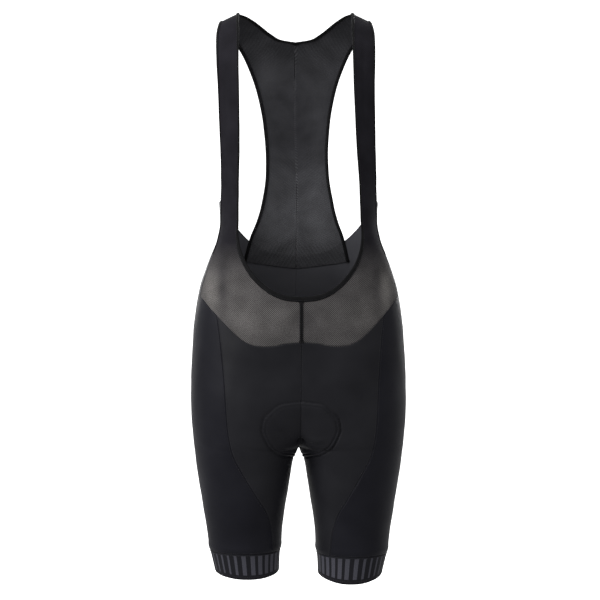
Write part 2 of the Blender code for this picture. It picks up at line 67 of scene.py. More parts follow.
# Horizontal sections of the worn form, from the shoulders to the hem.
# half_width: centre of the body to the outside. leg_x: centre of the leg's oval.
# inner_reach: how far that oval goes inwards, so that above the crotch the two ovals run into each other.
# front, back: depth of the oval either way from the side line.
#           height  half_width leg_x  inner_reach front  back
SECTIONS = (
    (+0.060, 0.1700, 0.0000, 0.3000, 0.0950, 0.0980),
    (-0.050, 0.1690, 0.0000, 0.3000, 0.1000, 0.1010),
    (-0.120, 0.1640, 0.0000, 0.3000, 0.1060, 0.1030),
    (-0.200, 0.1500, 0.0000, 0.3000, 0.1070, 0.1010),
    (-0.260, 0.1350, 0.0000, 0.3000, 0.1020, 0.0960),
    (-0.300, 0.1275, 0.0000, 0.3000, 0.0970, 0.0920),
    (-0.333, 0.1255, 0.0000, 0.3000, 0.0945, 0.0890),
    (-0.360, 0.1300, 0.0000, 0.3000, 0.0940, 0.0880),
    (-0.386, 0.1402, 0.0000, 0.3000, 0.0945, 0.0890),
    (-0.410, 0.1488, 0.0010, 0.3000, 0.0960, 0.0920),
    (-0.435, 0.1568, 0.0040, 0.3000, 0.0980, 0.0960),
    (-0.461, 0.1622, 0.0100, 0.3000, 0.1000, 0.1000),
    (-0.512, 0.1680, 0.0300, 0.2900, 0.1020, 0.1080),
    (-0.563, 0.1706, 0.0500, 0.2600, 0.1020, 0.1150),
    (-0.614, 0.1718, 0.0690, 0.2100, 0.1000, 0.1170),
    (-0.650, 0.1703, 0.0780, 0.1450, 0.0970, 0.1120),
    (-0.672, 0.1686, 0.0820, 0.1120, 0.0945, 0.1070),
    (-0.684, 0.1674, 0.0838, 0.0925, 0.0930, 0.1035),
    (-0.6895, 0.1668, 0.0845, 0.0845, 0.0920, 0.1015),
    (-0.694, 0.1662, 0.0850, 0.0822, 0.0915, 0.1000),
    (-0.704, 0.1648, 0.0855, 0.0793, 0.0900, 0.0970),
    (-0.717, 0.1630, 0.0864, 0.0766, 0.0885, 0.0940),
    (-0.742, 0.1594, 0.0868, 0.0726, 0.0850, 0.0880),
    (-0.768, 0.1550, 0.0868, 0.0682, 0.0805, 0.0815),
    (-0.794, 0.1506, 0.0867, 0.0640, 0.0755, 0.0750),
    (-0.820, 0.1465, 0.0863, 0.0602, 0.0700, 0.0690),
    (-0.845, 0.1433, 0.0855, 0.0578, 0.0645, 0.0640),
    (-0.853, 0.1415, 0.0851, 0.0564, 0.0630, 0.0625),
    (-0.862, 0.1390, 0.0842, 0.0544, 0.0605, 0.0600),
    (-0.883, 0.1342, 0.0826, 0.0517, 0.0570, 0.0570),
    (-0.905, 0.1290, 0.0808, 0.0490, 0.0540, 0.0540),
)
ROUNDNESS = 2.2  # exponent of the ovals: 2 is an ellipse
CROTCH = -0.6895
SHOULDER_START = -0.100  # height where the cloth begins to bend back over the shoulder
SHOULDER_CLOTH = 0.135  # cloth from there to the top of the shoulder
STRAP_TOP_X = 0.0895  # inner edge of the strap where it is highest
SHOULDER_SLOPE = 0.47  # how fast the shoulder falls outside that

# How the form stands: the chest turns and leans a little on the hips, and the left leg hangs lower.
#        height  turn_deg lean_x
STANCE = ((0.060, -2.8, 0.0000), (-0.100, -2.5, 0.0015), (-0.200, -2.0, 0.0035),
          (-0.300, -1.5, 0.0055), (-0.400, 0.0, 0.0055), (-0.910, 0.0, 0.0055))
LEG_DROP = {RIGHT: 0.000, LEFT: 0.006}
LEG_LENGTH = 0.170  # crotch to the top of the gripper

# Seams and edges, as x and z seen square on, from the front or from the back
SCOOP = ((0.0000, -0.4538), (0.0205, -0.4520), (0.0415, -0.4450), (0.0620, -0.4300), (0.0795, -0.4090),
         (0.0890, -0.3900), (0.0945, -0.3720), (0.0965, -0.3550), (0.0955, -0.3330))
STRAP_INNER = ((0.0955, -0.3330), (0.0940, -0.2800), (0.0910, -0.2300), (0.0885, -0.1300),
               (0.0880, -0.0500), (STRAP_TOP_X, 0.0000))
STRAP_OUTER = ((0.1225, -0.3000), (0.1213, -0.2800), (0.1204, -0.2300), (0.1212, -0.1300),
               (0.1235, -0.0500), (0.1200, -0.0143))
MESH_LOWER = ((0.0000, -0.5228), (0.0230, -0.5243), (0.0410, -0.5282), (0.0550, -0.5292), (0.0700, -0.5280),
              (0.0860, -0.5220), (0.1109, -0.5013), (0.1293, -0.4820))
MESH_CORNER = ((0.1293, -0.4820), (0.1400, -0.4705), (0.1500, -0.4590), (0.1568, -0.4520))
SIDE_SEAM = ((0.1568, -0.4520), (0.1525, -0.4350), (0.1448, -0.4100), (0.1372, -0.3860))
SIDE_TOP = ((0.1372, -0.3860), (0.1278, -0.3600), (0.1232, -0.3330), (0.1225, -0.3000))
FRONT_SEAM = ((0.0445, -0.8527), (0.0460, -0.8234), (0.0535, -0.7924), (0.0690, -0.7645), (0.0910, -0.7273),
              (0.1085, -0.6900), (0.1150, -0.6500), (0.1178, -0.6000), (0.1225, -0.5400), (0.1293, -0.4820))
SEAM_SHIFT = {RIGHT: -0.003, LEFT: 0.003}  # the two front seams are not sewn quite alike
WING = ((0.1190, -0.3080), (0.1120, -0.3220), (0.1005, -0.3390), (0.0780, -0.3610), (0.0450, -0.3800),
        (0.0000, -0.3870))
RACERBACK_OUTER = ((0.0880, -0.3940), (0.0777, -0.3539), (0.0672, -0.3272), (0.0599, -0.3004),
                   (0.0522, -0.2469), (0.0516, -0.2202), (0.0551, -0.1667), (0.0650, -0.1131),
                   (0.0814, -0.0663), (0.0980, -0.0380), (0.1110, -0.0260), (0.1200, -0.0143))
BACK_NECK = ((0.0000, -0.0320), (0.0250, -0.0285), (0.0420, -0.0205), (0.0560, -0.0120), (0.0680, -0.0055),
             (0.0800, -0.0012), (STRAP_TOP_X, 0.0000))
RACERBACK_FOOT = -0.4050  # lower edge at the centre back, inside the shorts

def smooth(table, column, at):
    """Monotone cubic through one column of a table whose first column falls or rises steadily."""
    rows = np.array(table)
    rows = rows[np.argsort(rows[:, 0])]
    x, y = rows[:, 0], rows[:, column]
    step, slope = np.diff(x), np.diff(y) / np.diff(x)
    inner = np.where(slope[1:] * slope[:-1] > 0,
                     2 * slope[1:] * slope[:-1] / (slope[1:] + slope[:-1] + 1e-30), 0.0)
    tangent = np.concatenate(([slope[0]], inner, [slope[-1]]))
    at = np.clip(at, x[0], x[-1])
    i = np.clip(np.searchsorted(x, at) - 1, 0, len(step) - 1)
    t = (at - x[i]) / step[i]
    return ((1 + 2 * t) * (1 - t) ** 2 * y[i] + t * (1 - t) ** 2 * step[i] * tangent[i]
            + t * t * (3 - 2 * t) * y[i + 1] + t * t * (t - 1) * step[i] * tangent[i + 1])


def section(w):
    """half_width, leg_x, inner_reach, front and back at a height, and the angle where the half begins."""
    half, leg_x, inner, front, back = (smooth(SECTIONS, c, w) for c in range(1, 6))
    start = -np.arcsin(np.clip(leg_x / inner, 0, 1) ** (ROUNDNESS / 2))
    return half, leg_x, inner, front, back, start


def shoulder_top(x):
    return -SHOULDER_SLOPE * np.maximum(0, np.abs(x) - STRAP_TOP_X)


def surface(side, q, w):
    """Points of the worn surface."""
    q, w = np.broadcast_arrays(np.asarray(q, float), np.asarray(w, float))
    half, leg_x, inner, front, back, start = section(w)
    angle = start + q * (np.pi - 2 * start)
    sine, cosine = np.sin(angle), np.cos(angle)
    x = leg_x + np.where(sine > 0, half - leg_x, inner) * np.sign(sine) * np.abs(sine) ** (2 / ROUNDNESS)
    y = np.where(cosine > 0, -front, back) * np.abs(cosine) ** (2 / ROUNDNESS)
    x = np.maximum(x, 0.0)
    bend = np.clip((w - SHOULDER_START) / SHOULDER_CLOTH, 0, 1) * np.pi / 2
    y = y * np.cos(bend)
    z = np.where(w > SHOULDER_START,
                 SHOULDER_START + (shoulder_top(x) - SHOULDER_START) * np.sin(bend), w)
    z = z - LEG_DROP[side] * np.clip((CROTCH - w) / LEG_LENGTH, 0, 1)
    x = x * side
    turn, lean = np.radians(smooth(STANCE, 1, w)), smooth(STANCE, 2, w)
    return np.stack([x * np.cos(turn) - y * np.sin(turn) + lean, x * np.sin(turn) + y * np.cos(turn), z], -1)


def normal(side, q, w):
    """Outward unit normals of the worn surface."""
    dq, dw = 0.004, 0.0015
    ahead, behind = (np.where(w < CROTCH + 1e-6, (q + d) % 1, np.clip(q + d, 0, 1)) for d in (dq, -dq))
    across = surface(side, ahead, w) - surface(side, behind, w)
    up = surface(side, q, w + dw) - surface(side, q, w - dw)
    n = np.cross(across, up) * side
    return n / np.maximum(np.linalg.norm(n, axis=-1, keepdims=True), 1e-12)


def place(x, z, back=False):
    """The q and w of a point given by its x and z, on the front or on the back."""
    top = shoulder_top(x)
    rise = np.clip((z - SHOULDER_START) / (top - SHOULDER_START), 0, 1)
    w = np.where(z > SHOULDER_START, SHOULDER_START + SHOULDER_CLOTH * np.arcsin(rise) * 2 / np.pi, z)
    half, leg_x, inner, _, _, start = section(w)
    share = np.where(x > leg_x, (x - leg_x) / (half - leg_x), (x - leg_x) / inner)
    angle = np.arcsin(np.sign(share) * np.minimum(np.abs(share), 1) ** (ROUNDNESS / 2))
    q = (angle - start) / (np.pi - 2 * start)
    return np.stack([1 - q if back else q, w], -1)


def seam_along(points):
    """A seam: rows of share, q and w, where share is how far along the cloth the point lies, from 0 to 1."""
    steps = np.linalg.norm(np.diff(surface(LEFT, points[:, 0], points[:, 1]), axis=0), axis=1)
    along = np.concatenate(([0], np.cumsum(steps + 1e-12)))
    return np.column_stack([along / along[-1], points])


def curve(stops, back=False, shift=0.0):
    """A smooth seam through x and z stops seen from the front or the back; a shift fades out at its top."""
    stops = np.array(stops, float)
    along = np.concatenate(([0], np.cumsum(np.linalg.norm(np.diff(stops, axis=0), axis=1))))
    steps = np.linspace(0, along[-1], SEAM_POINTS)
    x, z = (smooth(np.column_stack([along, stops[:, k]]), 1, steps) for k in range(2))
    return seam_along(place(x + shift * np.clip(1.2 * (1 - steps / along[-1]), 0, 1), z, back))


def straight(start, end):
    """A seam straight from one q and w to another."""
    return seam_along(np.linspace(start, end, SEAM_POINTS))


def joined(*seams):
    return seam_along(np.concatenate([seam[:, 1:] for seam in seams]))


def joints(*seams):
    """The shares along joined seams at which one ends and the next begins."""
    lengths = np.cumsum([cloth_length(seam[:, 1:]) for seam in seams])
    return lengths[:-1] / lengths[-1]


def at(seam, share):
    return np.stack([np.interp(share, seam[:, 0], seam[:, k]) for k in (1, 2)], -1)


def height_share(seam, height):
    """The share at which a seam that climbs reaches a height."""
    return np.interp(height, seam[:, 2], seam[:, 0])


def timed(seam, share, wanted):
    """The same seam, run through so that its point at one share comes at another."""
    return np.column_stack([np.interp(seam[:, 0], [0, share, 1], [0, wanted, 1]), seam[:, 1:]])


class Patch:
    """A panel between four seams: low and high run with u, start and end run with v."""

    def __init__(self, low, high, start, end):
        self.low, self.high, self.start, self.end = low, high, start, end

    def qw(self, u, v):
        u, v = (np.asarray(share, float)[..., None] for share in (u, v))
        ruled = ((1 - v) * at(self.low, u[..., 0]) + v * at(self.high, u[..., 0])
                 + (1 - u) * at(self.start, v[..., 0]) + u * at(self.end, v[..., 0]))
        corners = ((1 - u) * ((1 - v) * self.low[0, 1:] + v * self.high[0, 1:])
                   + u * ((1 - v) * self.low[-1, 1:] + v * self.high[-1, 1:]))
        return ruled - corners

    def across(self, u):
        """Cloth across the panel at one u."""
        return cloth_length(self.qw(np.full(41, u), np.linspace(0, 1, 41)))

    def along(self, v):
        """Cloth along the panel at one v."""
        return cloth_length(self.qw(np.linspace(0, 1, 41), np.full(41, v)))


def cloth_length(qw):
    return np.linalg.norm(np.diff(surface(LEFT, qw[:, 0], qw[:, 1]), axis=0), axis=1).sum()


MESH_CLOTH, RACERBACK_CLOTH, SHORTS_CLOTH = 0.0010, 0.0006, 0.0013
TUCK = 0.0003  # how far the racerback keeps inside the shorts
CELL = 0.0028  # size of the cloth's cells
EDGE_CELL = 0.0016  # a narrower one runs along each edge, so that the edge shades crisply


def cells(length, count):
    """Shares of a length: its ends, a narrow cell inside each, and even cells between."""
    return np.concatenate([[0], np.linspace(EDGE_CELL / length, 1 - EDGE_CELL / length, count), [1]])


def panel_grid(patch, cell=CELL):
    """q and w over a panel; its cells stay about as big where it widens."""
    length = patch.along(0.5)
    us = cells(length, max(2, round(length / cell)))
    widest = max(patch.across(u) for u in np.linspace(0, 1, 9))
    count = max(6, round(widest / cell))
    levels = [cells(patch.across(u), count) for u in us]
    return np.stack([patch.qw(np.full(len(v), u), v) for u, v in zip(us, levels)])


# Creases of the worn cloth, as x and z seen from the front or the back, with their middle pushed
# sideways by bow. A positive depth is a trough, a negative one a ridge.
#           back   from x   from z    to x     to z     bow    width   depth
CREASES = (
    (False, -0.0090, -0.6690, -0.0310, -0.6570, +0.002, 0.0035, +0.0012),
    (False, -0.0120, -0.6780, -0.0420, -0.6750, +0.003, 0.0060, +0.0008),
    (False, +0.0150, -0.6760, +0.0410, -0.6800, -0.002, 0.0030, +0.0010),
    (False, +0.0140, -0.6700, +0.0450, -0.6720, -0.002, 0.0040, -0.0009),
    (False, +0.0120, -0.6830, +0.0380, -0.6880, -0.002, 0.0035, -0.0007),
    (False, -0.0600, -0.6620, -0.1050, -0.6350, +0.005, 0.0120, +0.0007),
    (False, +0.0660, -0.6650, +0.1120, -0.6400, -0.004, 0.0130, +0.0008),
    (False, -0.0420, -0.7150, -0.0930, -0.7600, +0.006, 0.0140, +0.0008),
    (False, +0.0520, -0.7200, +0.0980, -0.7450, -0.006, 0.0130, +0.0007),
    (False, -0.0500, -0.7800, -0.0700, -0.8350, -0.004, 0.0110, +0.0007),
    (False, +0.0620, -0.8000, +0.1120, -0.8280, +0.004, 0.0120, +0.0006),
    (False, -0.1180, -0.3950, -0.1130, -0.4700, +0.002, 0.0080, +0.0008),
    (False, +0.1230, -0.3980, +0.1180, -0.4700, -0.002, 0.0080, +0.0008),
    (False, -0.0750, -0.4650, -0.0880, -0.5100, +0.002, 0.0120, +0.0005),
    (False, +0.0630, -0.4600, +0.0760, -0.5150, -0.002, 0.0120, +0.0005),
    (False, -0.1060, -0.0700, -0.1030, -0.2100, +0.001, 0.0050, +0.0006),
    (False, +0.1100, -0.0500, +0.1080, -0.1900, -0.001, 0.0045, +0.0008),
    (True, -0.0200, -0.6950, -0.0980, -0.6900, -0.008, 0.0080, +0.0013),
    (True, +0.0220, -0.6920, +0.1020, -0.6960, -0.009, 0.0075, +0.0014),
    (True, -0.0250, -0.7150, -0.0900, -0.7120, -0.006, 0.0070, +0.0009),
    (True, +0.0280, -0.7180, +0.0820, -0.7100, -0.006, 0.0075, +0.0008),
    (True, -0.0500, -0.8180, -0.1080, -0.8260, +0.004, 0.0090, +0.0008),
    (True, +0.0560, -0.8240, +0.1120, -0.8150, +0.004, 0.0085, +0.0009),
    (True, -0.0060, -0.5600, -0.0420, -0.5300, +0.004, 0.0140, +0.0007),
    (True, +0.0120, -0.5500, +0.0520, -0.5250, -0.004, 0.0140, +0.0007),
    (True, -0.0300, -0.3300, -0.0350, -0.2200, +0.004, 0.0120, +0.0006),
    (True, +0.0280, -0.1500, +0.0330, -0.0750, -0.004, 0.0120, +0.0006),
)
CREASE_POINTS = 25

# Half of the seat pad's outline, which shows through the shorts: on the front, then on the back
PAD_FRONT = ((0.0000, -0.6140), (0.0310, -0.6180), (0.0460, -0.6290), (0.0570, -0.6410), (0.0597, -0.6565),
             (0.0550, -0.6720), (0.0460, -0.6870), (0.0300, -0.6990))
PAD_BACK = ((0.0000, -0.6000), (0.0400, -0.6060), (0.0600, -0.6200), (0.0700, -0.6400), (0.0690, -0.6600),
            (0.0600, -0.6790), (0.0460, -0.6920), (0.0300, -0.7030))
PAD_INSEAM = -0.7080
PAD_RAISED = 0.0016  # how far the pad lifts the cloth
#               inside the rim  width   depth
PAD_GROOVES = ((-0.0006,       0.0014, 0.0026),
               (+0.0046,       0.0012, 0.0019))
GROOVE_PULL = {RIGHT: 0.75, LEFT: 1.0}
pad_rims = [joined(rim, straight(rim[-1, 1:], (back, PAD_INSEAM)))
            for back in (0, 1) for rim in [curve(PAD_FRONT if back == 0 else PAD_BACK, back=bool(back))]]


def nearest(points, line):
    """Distance of each point from a line of points, and the share of the line where it is nearest."""
    away = np.full(points.shape[:-1], np.inf)
    share = np.zeros(points.shape[:-1])
    for k, stop in enumerate(line):
        reach = np.linalg.norm(points - stop, axis=-1)
        share = np.where(reach < away, k / (len(line) - 1), share)
        away = np.minimum(away, reach)
    return away, share


def relief(side, q, w, points):
    """How far the worn cloth lies outside its smooth form: creases, the pad's edge, the pull of the bands."""
    lift = np.zeros(w.shape)
    for back, x0, z0, x1, z1, bow, width, depth in CREASES:
        if np.sign(x0 + x1 - 2 * 0.0055) != side:
            continue
        t = np.linspace(0, 1, CREASE_POINTS)
        x = np.abs(x0 + (x1 - x0) * t - 0.0055) + 0 * t
        z = z0 + (z1 - z0) * t + bow * np.sin(np.pi * t)
        route = surface(side, *place(x, z, back).T)
        away, share = nearest(points, route)
        lift -= depth * np.exp(-(away / width) ** 2) * np.sin(np.pi * np.clip(share, 0.03, 0.97)) ** 0.7
    for back, rim in enumerate(pad_rims):
        from_middle = q if back == 0 else 1 - q
        edge = np.interp(w, rim[::-1, 2], (rim[::-1, 1] if back == 0 else 1 - rim[::-1, 1]))
        inside = (from_middle < edge) & (w < rim[0, 2]) & (w > PAD_INSEAM)
        near = (w < rim[0, 2] + 0.02) & (w > PAD_INSEAM - 0.02) & (np.abs(points[..., 1]) < 0.2)
        near &= (q < 0.5) if back == 0 else (q >= 0.5)
        if near.any():
            route = surface(side, *rim[::6, 1:].T)
            away = np.full(w.shape, 1.0)
            away[near] = nearest(points[near], route)[0]
            depth_in = np.where(inside, away, -away)
            lift += PAD_RAISED * np.clip((depth_in + 0.001) / 0.004, 0, 1)
            pull = (0.45 + 0.55 * np.clip((-0.622 - w) / 0.02, 0, 1)) * GROOVE_PULL[side]
            for inside_rim, groove_width, depth in PAD_GROOVES:
                lift -= depth * pull * np.exp(-((depth_in - inside_rim) / groove_width) ** 2)
    hole = surface(side, *place(np.array([0.0012]), np.array([-0.6740]))[0])
    lift -= 0.0060 * np.exp(-(np.linalg.norm(points - hole, axis=-1) / 0.0048) ** 2)
    bulge = np.clip((-0.700 - w) / 0.1, 0, 1)
    lift += bulge * 0.0010 * np.exp(-((w + 0.8465) / 0.0050) ** 2)
    lift += 0.00035 * np.sin(q * 17 + w * 31 + side) * np.sin(w * 53 - q * 9 + 2 * side)
    lift += 0.00018 * np.sin(q * 41 - w * 67 + 3 * side) * np.sin(w * 109 + q * 23)
    return lift


def worn(side, q, w, lift=0.0):
    """Points of the creased cloth and their outward normals."""
    points, out = surface(side, q, w), normal(side, q, w)
    return points + out * (relief(side, q, w, points) + lift)[..., None], out


# Cloth from the centre front round to each q, at a range of heights, for the weaves' true scale
WEAVE_HEIGHTS, WEAVE_TURNS = np.linspace(-0.905, 0.060, 60), np.linspace(0, 1, 161)
weave_lengths = np.array([
    np.concatenate(([0], np.cumsum(np.linalg.norm(np.diff(surface(LEFT, WEAVE_TURNS, h), axis=0), axis=1))))
    for h in WEAVE_HEIGHTS])


def round_length(q, w):
    """Metres of cloth from the centre front round to q, at height w."""
    row = np.interp(w, WEAVE_HEIGHTS, np.arange(len(WEAVE_HEIGHTS)))
    low = np.minimum(row.astype(int), len(WEAVE_HEIGHTS) - 2)
    column = q * (len(WEAVE_TURNS) - 1)
    left = np.minimum(column.astype(int), len(WEAVE_TURNS) - 2)
    rise, run = row - low, column - left
    return ((1 - rise) * ((1 - run) * weave_lengths[low, left] + run * weave_lengths[low, left + 1])
            + rise * ((1 - run) * weave_lengths[low + 1, left] + run * weave_lengths[low + 1, left + 1]))


def edge_distance(points):
    """How far along the grid each point lies from the grid's nearest edge."""
    found = []
    for axis in (0, 1):
        steps = np.linalg.norm(np.diff(points, axis=axis), axis=-1)
        zero = np.zeros_like(np.take(steps, [0], axis))
        along = np.cumsum(np.concatenate([zero, steps], axis), axis)
        found += [along, np.take(along, [-1], axis) - along]
    return np.minimum.reduce(found)


def link_mesh(bm, name, material, body="root"):
    mesh = bpy.data.meshes.new(name)
    bm.to_mesh(mesh)
    bm.free()
    mesh.shade_smooth()
    mesh.materials.append(material)
    thing = bpy.data.objects.new(name, mesh)
    bpy.context.scene.collection.objects.link(thing)
    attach(thing, body)
    return thing


def grid_sheet(bm, points, inward, uv):
    """Add a sheet through a grid of points, noting which way its wall goes and its pattern's place."""
    rows, columns = points.shape[:2]
    way, place_uv = bm.verts.layers.float_vector["inward"], bm.verts.layers.float_vector["place"]
    made = bmesh.ops.create_grid(bm, x_segments=rows - 1, y_segments=columns - 1, size=0.5)["verts"]
    for vert in made:
        i, j = round((vert.co.x + 0.5) * (rows - 1)), round((vert.co.y + 0.5) * (columns - 1))
        vert.co = points[i, j]
        vert[way] = inward[i, j]
        vert[place_uv] = (*uv[i, j], 0)


def new_bmesh():
    bm = bmesh.new()
    bm.verts.layers.float_vector.new("inward")
    bm.verts.layers.float_vector.new("place")
    bm.verts.layers.float.new("reverse")
    return bm


def write_uv(bm, wrap=0.0):
    """Give each corner its point's pattern place; across a tube's closing seam the pattern runs on."""
    place_uv, layer = bm.verts.layers.float_vector["place"], bm.loops.layers.uv.new("UVMap")
    for face in bm.faces:
        us = [loop.vert[place_uv].x for loop in face.loops]
        over = wrap and max(us) - min(us) > wrap / 2
        for loop, u in zip(face.loops, us):
            loop[layer].uv = (u + wrap if over and u < wrap / 2 else u, loop.vert[place_uv].y)


def cloth(name, sheets, thickness, material, roll=0.0004, wrap=0.0):
    """A thin wall of cloth: (side, q and w grid, lift, uv) sheets, welded where they meet."""
    bm = new_bmesh()
    area = 0.0
    for side, qw, lift, uv in sheets:
        q, w = qw[..., 0], qw[..., 1]
        points, out = worn(side, q, w, lift(w) if callable(lift) else lift)
        lean = smooth(STANCE, 2, w)
        middle = (np.minimum(q, 1 - q) < 1e-6) & (w > CROTCH - 1e-5)
        out[middle, 0] = 0
        out[middle & (w < CROTCH + 1e-5)] = (0, 0, -1)
        out /= np.linalg.norm(out, axis=-1, keepdims=True)
        points[middle, 0] = lean[middle]
        if roll:
            away = edge_distance(points)
            points -= out * (roll * np.clip(1 - away / 0.0015, 0, 1))[..., None]
        if uv is None:
            uv = np.stack([side * round_length(q, w), w], -1)
        grid_sheet(bm, points, -out, uv)
        a, b = np.diff(points, axis=0)[:, :-1], np.diff(points, axis=1)[:-1]
        area += np.linalg.norm(np.cross(a, b), axis=-1).sum()
    bmesh.ops.remove_doubles(bm, verts=bm.verts, dist=0.00002)
    bmesh.ops.dissolve_degenerate(bm, edges=bm.edges, dist=0.00002)
    way, reverse = bm.verts.layers.float_vector["inward"], bm.verts.layers.float["reverse"]
    made = bmesh.ops.extrude_face_region(bm, geom=bm.faces[:], use_keep_orig=True)["geom"]
    for vert in made:
        if isinstance(vert, bmesh.types.BMVert):
            vert.co += vert[way] * thickness
            vert[reverse] = 1.0
    bmesh.ops.recalc_face_normals(bm, faces=bm.faces)
    write_uv(bm, wrap)
    return link_mesh(bm, name, material), area


def linear(code):
    """A colour as linear light from its sRGB hex code."""
    parts = [int(code[k:k + 2], 16) / 255 for k in (1, 3, 5)]
    return [*((c / 12.92 if c <= 0.04045 else ((c + 0.055) / 1.055) ** 2.4) for c in parts), 1.0]


def node(tree, kind, links=(), **settings):
    """Add a shader node. Settings are its properties or its sockets' values; links are (output, input)."""
    made = tree.nodes.new(kind)
    for name, value in settings.items():
        if hasattr(made, name) and name not in made.inputs:
            setattr(made, name, value)
    for name, value in settings.items():
        if name in made.inputs:
            made.inputs[name].default_value = value
    for source, socket in links:
        tree.links.new(source, made.inputs[socket])
    return made


def new_material(name, roughness, sheen=0.0, sheen_tint="#ffffff", specular=0.5):
    material = bpy.data.materials.new(name)
    material.use_nodes = True
    shader = material.node_tree.nodes["Principled BSDF"]
    shader.inputs["Roughness"].default_value = roughness
    shader.inputs["Sheen Weight"].default_value = sheen
    shader.inputs["Sheen Roughness"].default_value = 0.45
    shader.inputs["Sheen Tint"].default_value = linear(sheen_tint)
    shader.inputs["Specular IOR Level"].default_value = specular
    return material, material.node_tree, shader


def ramp(tree, source, *stops):
    """A colour ramp through (place, hex) stops."""
    made = node(tree, "ShaderNodeValToRGB", [(source, "Fac")])
    band = made.color_ramp
    while len(band.elements) < len(stops):
        band.elements.new(0.5)
    for element, (where, code) in zip(band.elements, stops):
        element.position, element.color = where, linear(code)
    return made.outputs["Color"]


def knitted_mesh(name, open_thread, closed_thread, hole, pitch=0.0021):
    """Warp-knitted polyester mesh: rows of round holes set diagonally, so that it looks grey and dotted.
    Where it is stretched, by its stretch attribute, the holes open and it turns lighter; that attribute also
    carries painted highlights and painted shade. The real holes are finer than these, which are drawn
    coarser so that they still show."""
    material, tree, shader = new_material(name, 0.8, sheen=0.01, specular=0.03)
    where = node(tree, "ShaderNodeTexCoord").outputs["UV"]
    # Stretch attribute: real stretch mixed with painted highlights and painted shade.
    stretch_and_painted_light = node(tree, "ShaderNodeAttribute", attribute_name="stretch_and_painted_light").outputs["Fac"]
    turned = node(tree, "ShaderNodeMapping", [(where, "Vector")],
                  Rotation=(0, 0, np.pi / 4), Scale=(1 / pitch, 1 / pitch, 1))
    dots = node(tree, "ShaderNodeTexVoronoi", [(turned.outputs["Vector"], "Vector")],
                voronoi_dimensions="2D", Scale=1.0, Randomness=0.12)
    patches = node(tree, "ShaderNodeTexNoise", [(where, "Vector")], Scale=30.0, Detail=3.0)
    opened = ramp(tree, dots.outputs["Distance"], (0.22, hole), (0.48, open_thread))
    closed = ramp(tree, dots.outputs["Distance"], (0.15, hole), (0.40, closed_thread))
    colour = node(tree, "ShaderNodeMix", [(stretch_and_painted_light, 0), (closed, 6), (opened, 7)], data_type="RGBA")
    shade = ramp(tree, patches.outputs["Fac"], (0.3, "#d4d4d4"), (0.7, "#ffffff"))
    mixed = node(tree, "ShaderNodeMix", [(colour.outputs[2], 6), (shade, 7)],
                 data_type="RGBA", blend_type="MULTIPLY")
    mixed.inputs[0].default_value = 1.0
    tree.links.new(mixed.outputs[2], shader.inputs["Base Color"])
    bump = node(tree, "ShaderNodeBump", [(dots.outputs["Distance"], "Height")], Strength=0.5, Distance=0.0004)
    tree.links.new(bump.outputs["Normal"], shader.inputs["Normal"])
    return material


def add_stretch_and_painted_light(piece, amount):
    """Write how far the mesh is stretched at each point, together with its painted highlights and painted
    shade, from 0 to 1, by a function of x, y and z.
    """
    mesh = piece.data
    places = np.array([vert.co for vert in mesh.vertices])
    layer = mesh.attributes.new("stretch_and_painted_light", "FLOAT", "POINT")
    layer.data.foreach_set("value", np.clip(amount(*places.T), 0, 1).astype(np.float32))


# Patches where the bib's mesh is made lighter or darker: partly real stretch over the hips, and painted
# light, with painted highlights where the sides catch the light and painted shade along the folds beside
# them: middle, reach and strength
#             x        z        reach x  reach z  strength
BIB_STRETCH_AND_LIGHT_PATCHES = (
    (-0.1330, -0.4480, 0.0110, 0.0300, +0.50),
    (-0.1150, -0.4350, 0.0080, 0.0450, -0.22),
    (-0.1080, -0.4850, 0.0300, 0.0200, +0.04),
    (-0.0700, -0.4900, 0.0350, 0.0350, +0.12),
    (-0.0200, -0.4850, 0.0250, 0.0300, +0.08),
    (+0.0150, -0.4950, 0.0200, 0.0300, -0.10),
    (+0.0500, -0.4900, 0.0200, 0.0300, +0.04),
    (+0.1050, -0.4800, 0.0280, 0.0280, +0.20),
    (+0.1250, -0.4400, 0.0070, 0.0400, -0.12),
    (+0.1400, -0.4400, 0.0100, 0.0320, +0.62),
)


def bib_stretch_and_painted_light(x, y, z):
    """Closed on the straps and opening below them; a little lighter towards the key light on the wearer's
    right, which is painted light, with painted highlights over the hip bones and painted shade along the
    folds.
    """
    opened = np.clip((-0.368 - z) / 0.055, 0, 1)
    # Painted light: lighter towards the wearer's right, where the key light stands.
    amount = 0.40 + 0.05 * np.clip(-x / 0.13, -0.6, 1)
    # Painted highlights and painted shade, with some real stretch, from the table of patches.
    for at_x, at_z, reach_x, reach_z, strength in BIB_STRETCH_AND_LIGHT_PATCHES:
        amount = amount + strength * np.exp(-((x - at_x) / reach_x) ** 2 - ((z - at_z) / reach_z) ** 2)
    return opened * amount


bib_mesh = knitted_mesh("warp_knitted_polyester_mesh", "#797674", "#1d1c21", "#131212")

scoop, strap_inner, strap_outer = curve(SCOOP), curve(STRAP_INNER), curve(STRAP_OUTER)
mesh_lower, mesh_corner = curve(MESH_LOWER), curve(MESH_CORNER)
side_seam, side_top = curve(SIDE_SEAM), curve(SIDE_TOP)
bib = Patch(low=joined(mesh_lower, mesh_corner, side_seam, side_top, strap_outer),
            high=joined(scoop, strap_inner),
            start=straight(mesh_lower[0, 1:], scoop[0, 1:]),
            end=straight(strap_outer[-1, 1:], strap_inner[-1, 1:]))
notch = joints(mesh_lower, mesh_corner, side_seam, side_top, strap_outer)[2]
bib_grid = panel_grid(bib)
for name, side in SIDES.items():
    front, area = cloth(f"bib_mesh_{name}", [(side, bib_grid, 0.0, None)], MESH_CLOTH, bib_mesh)
    add_stretch_and_painted_light(front, bib_stretch_and_painted_light)
    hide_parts(f"bib_front_{name}")

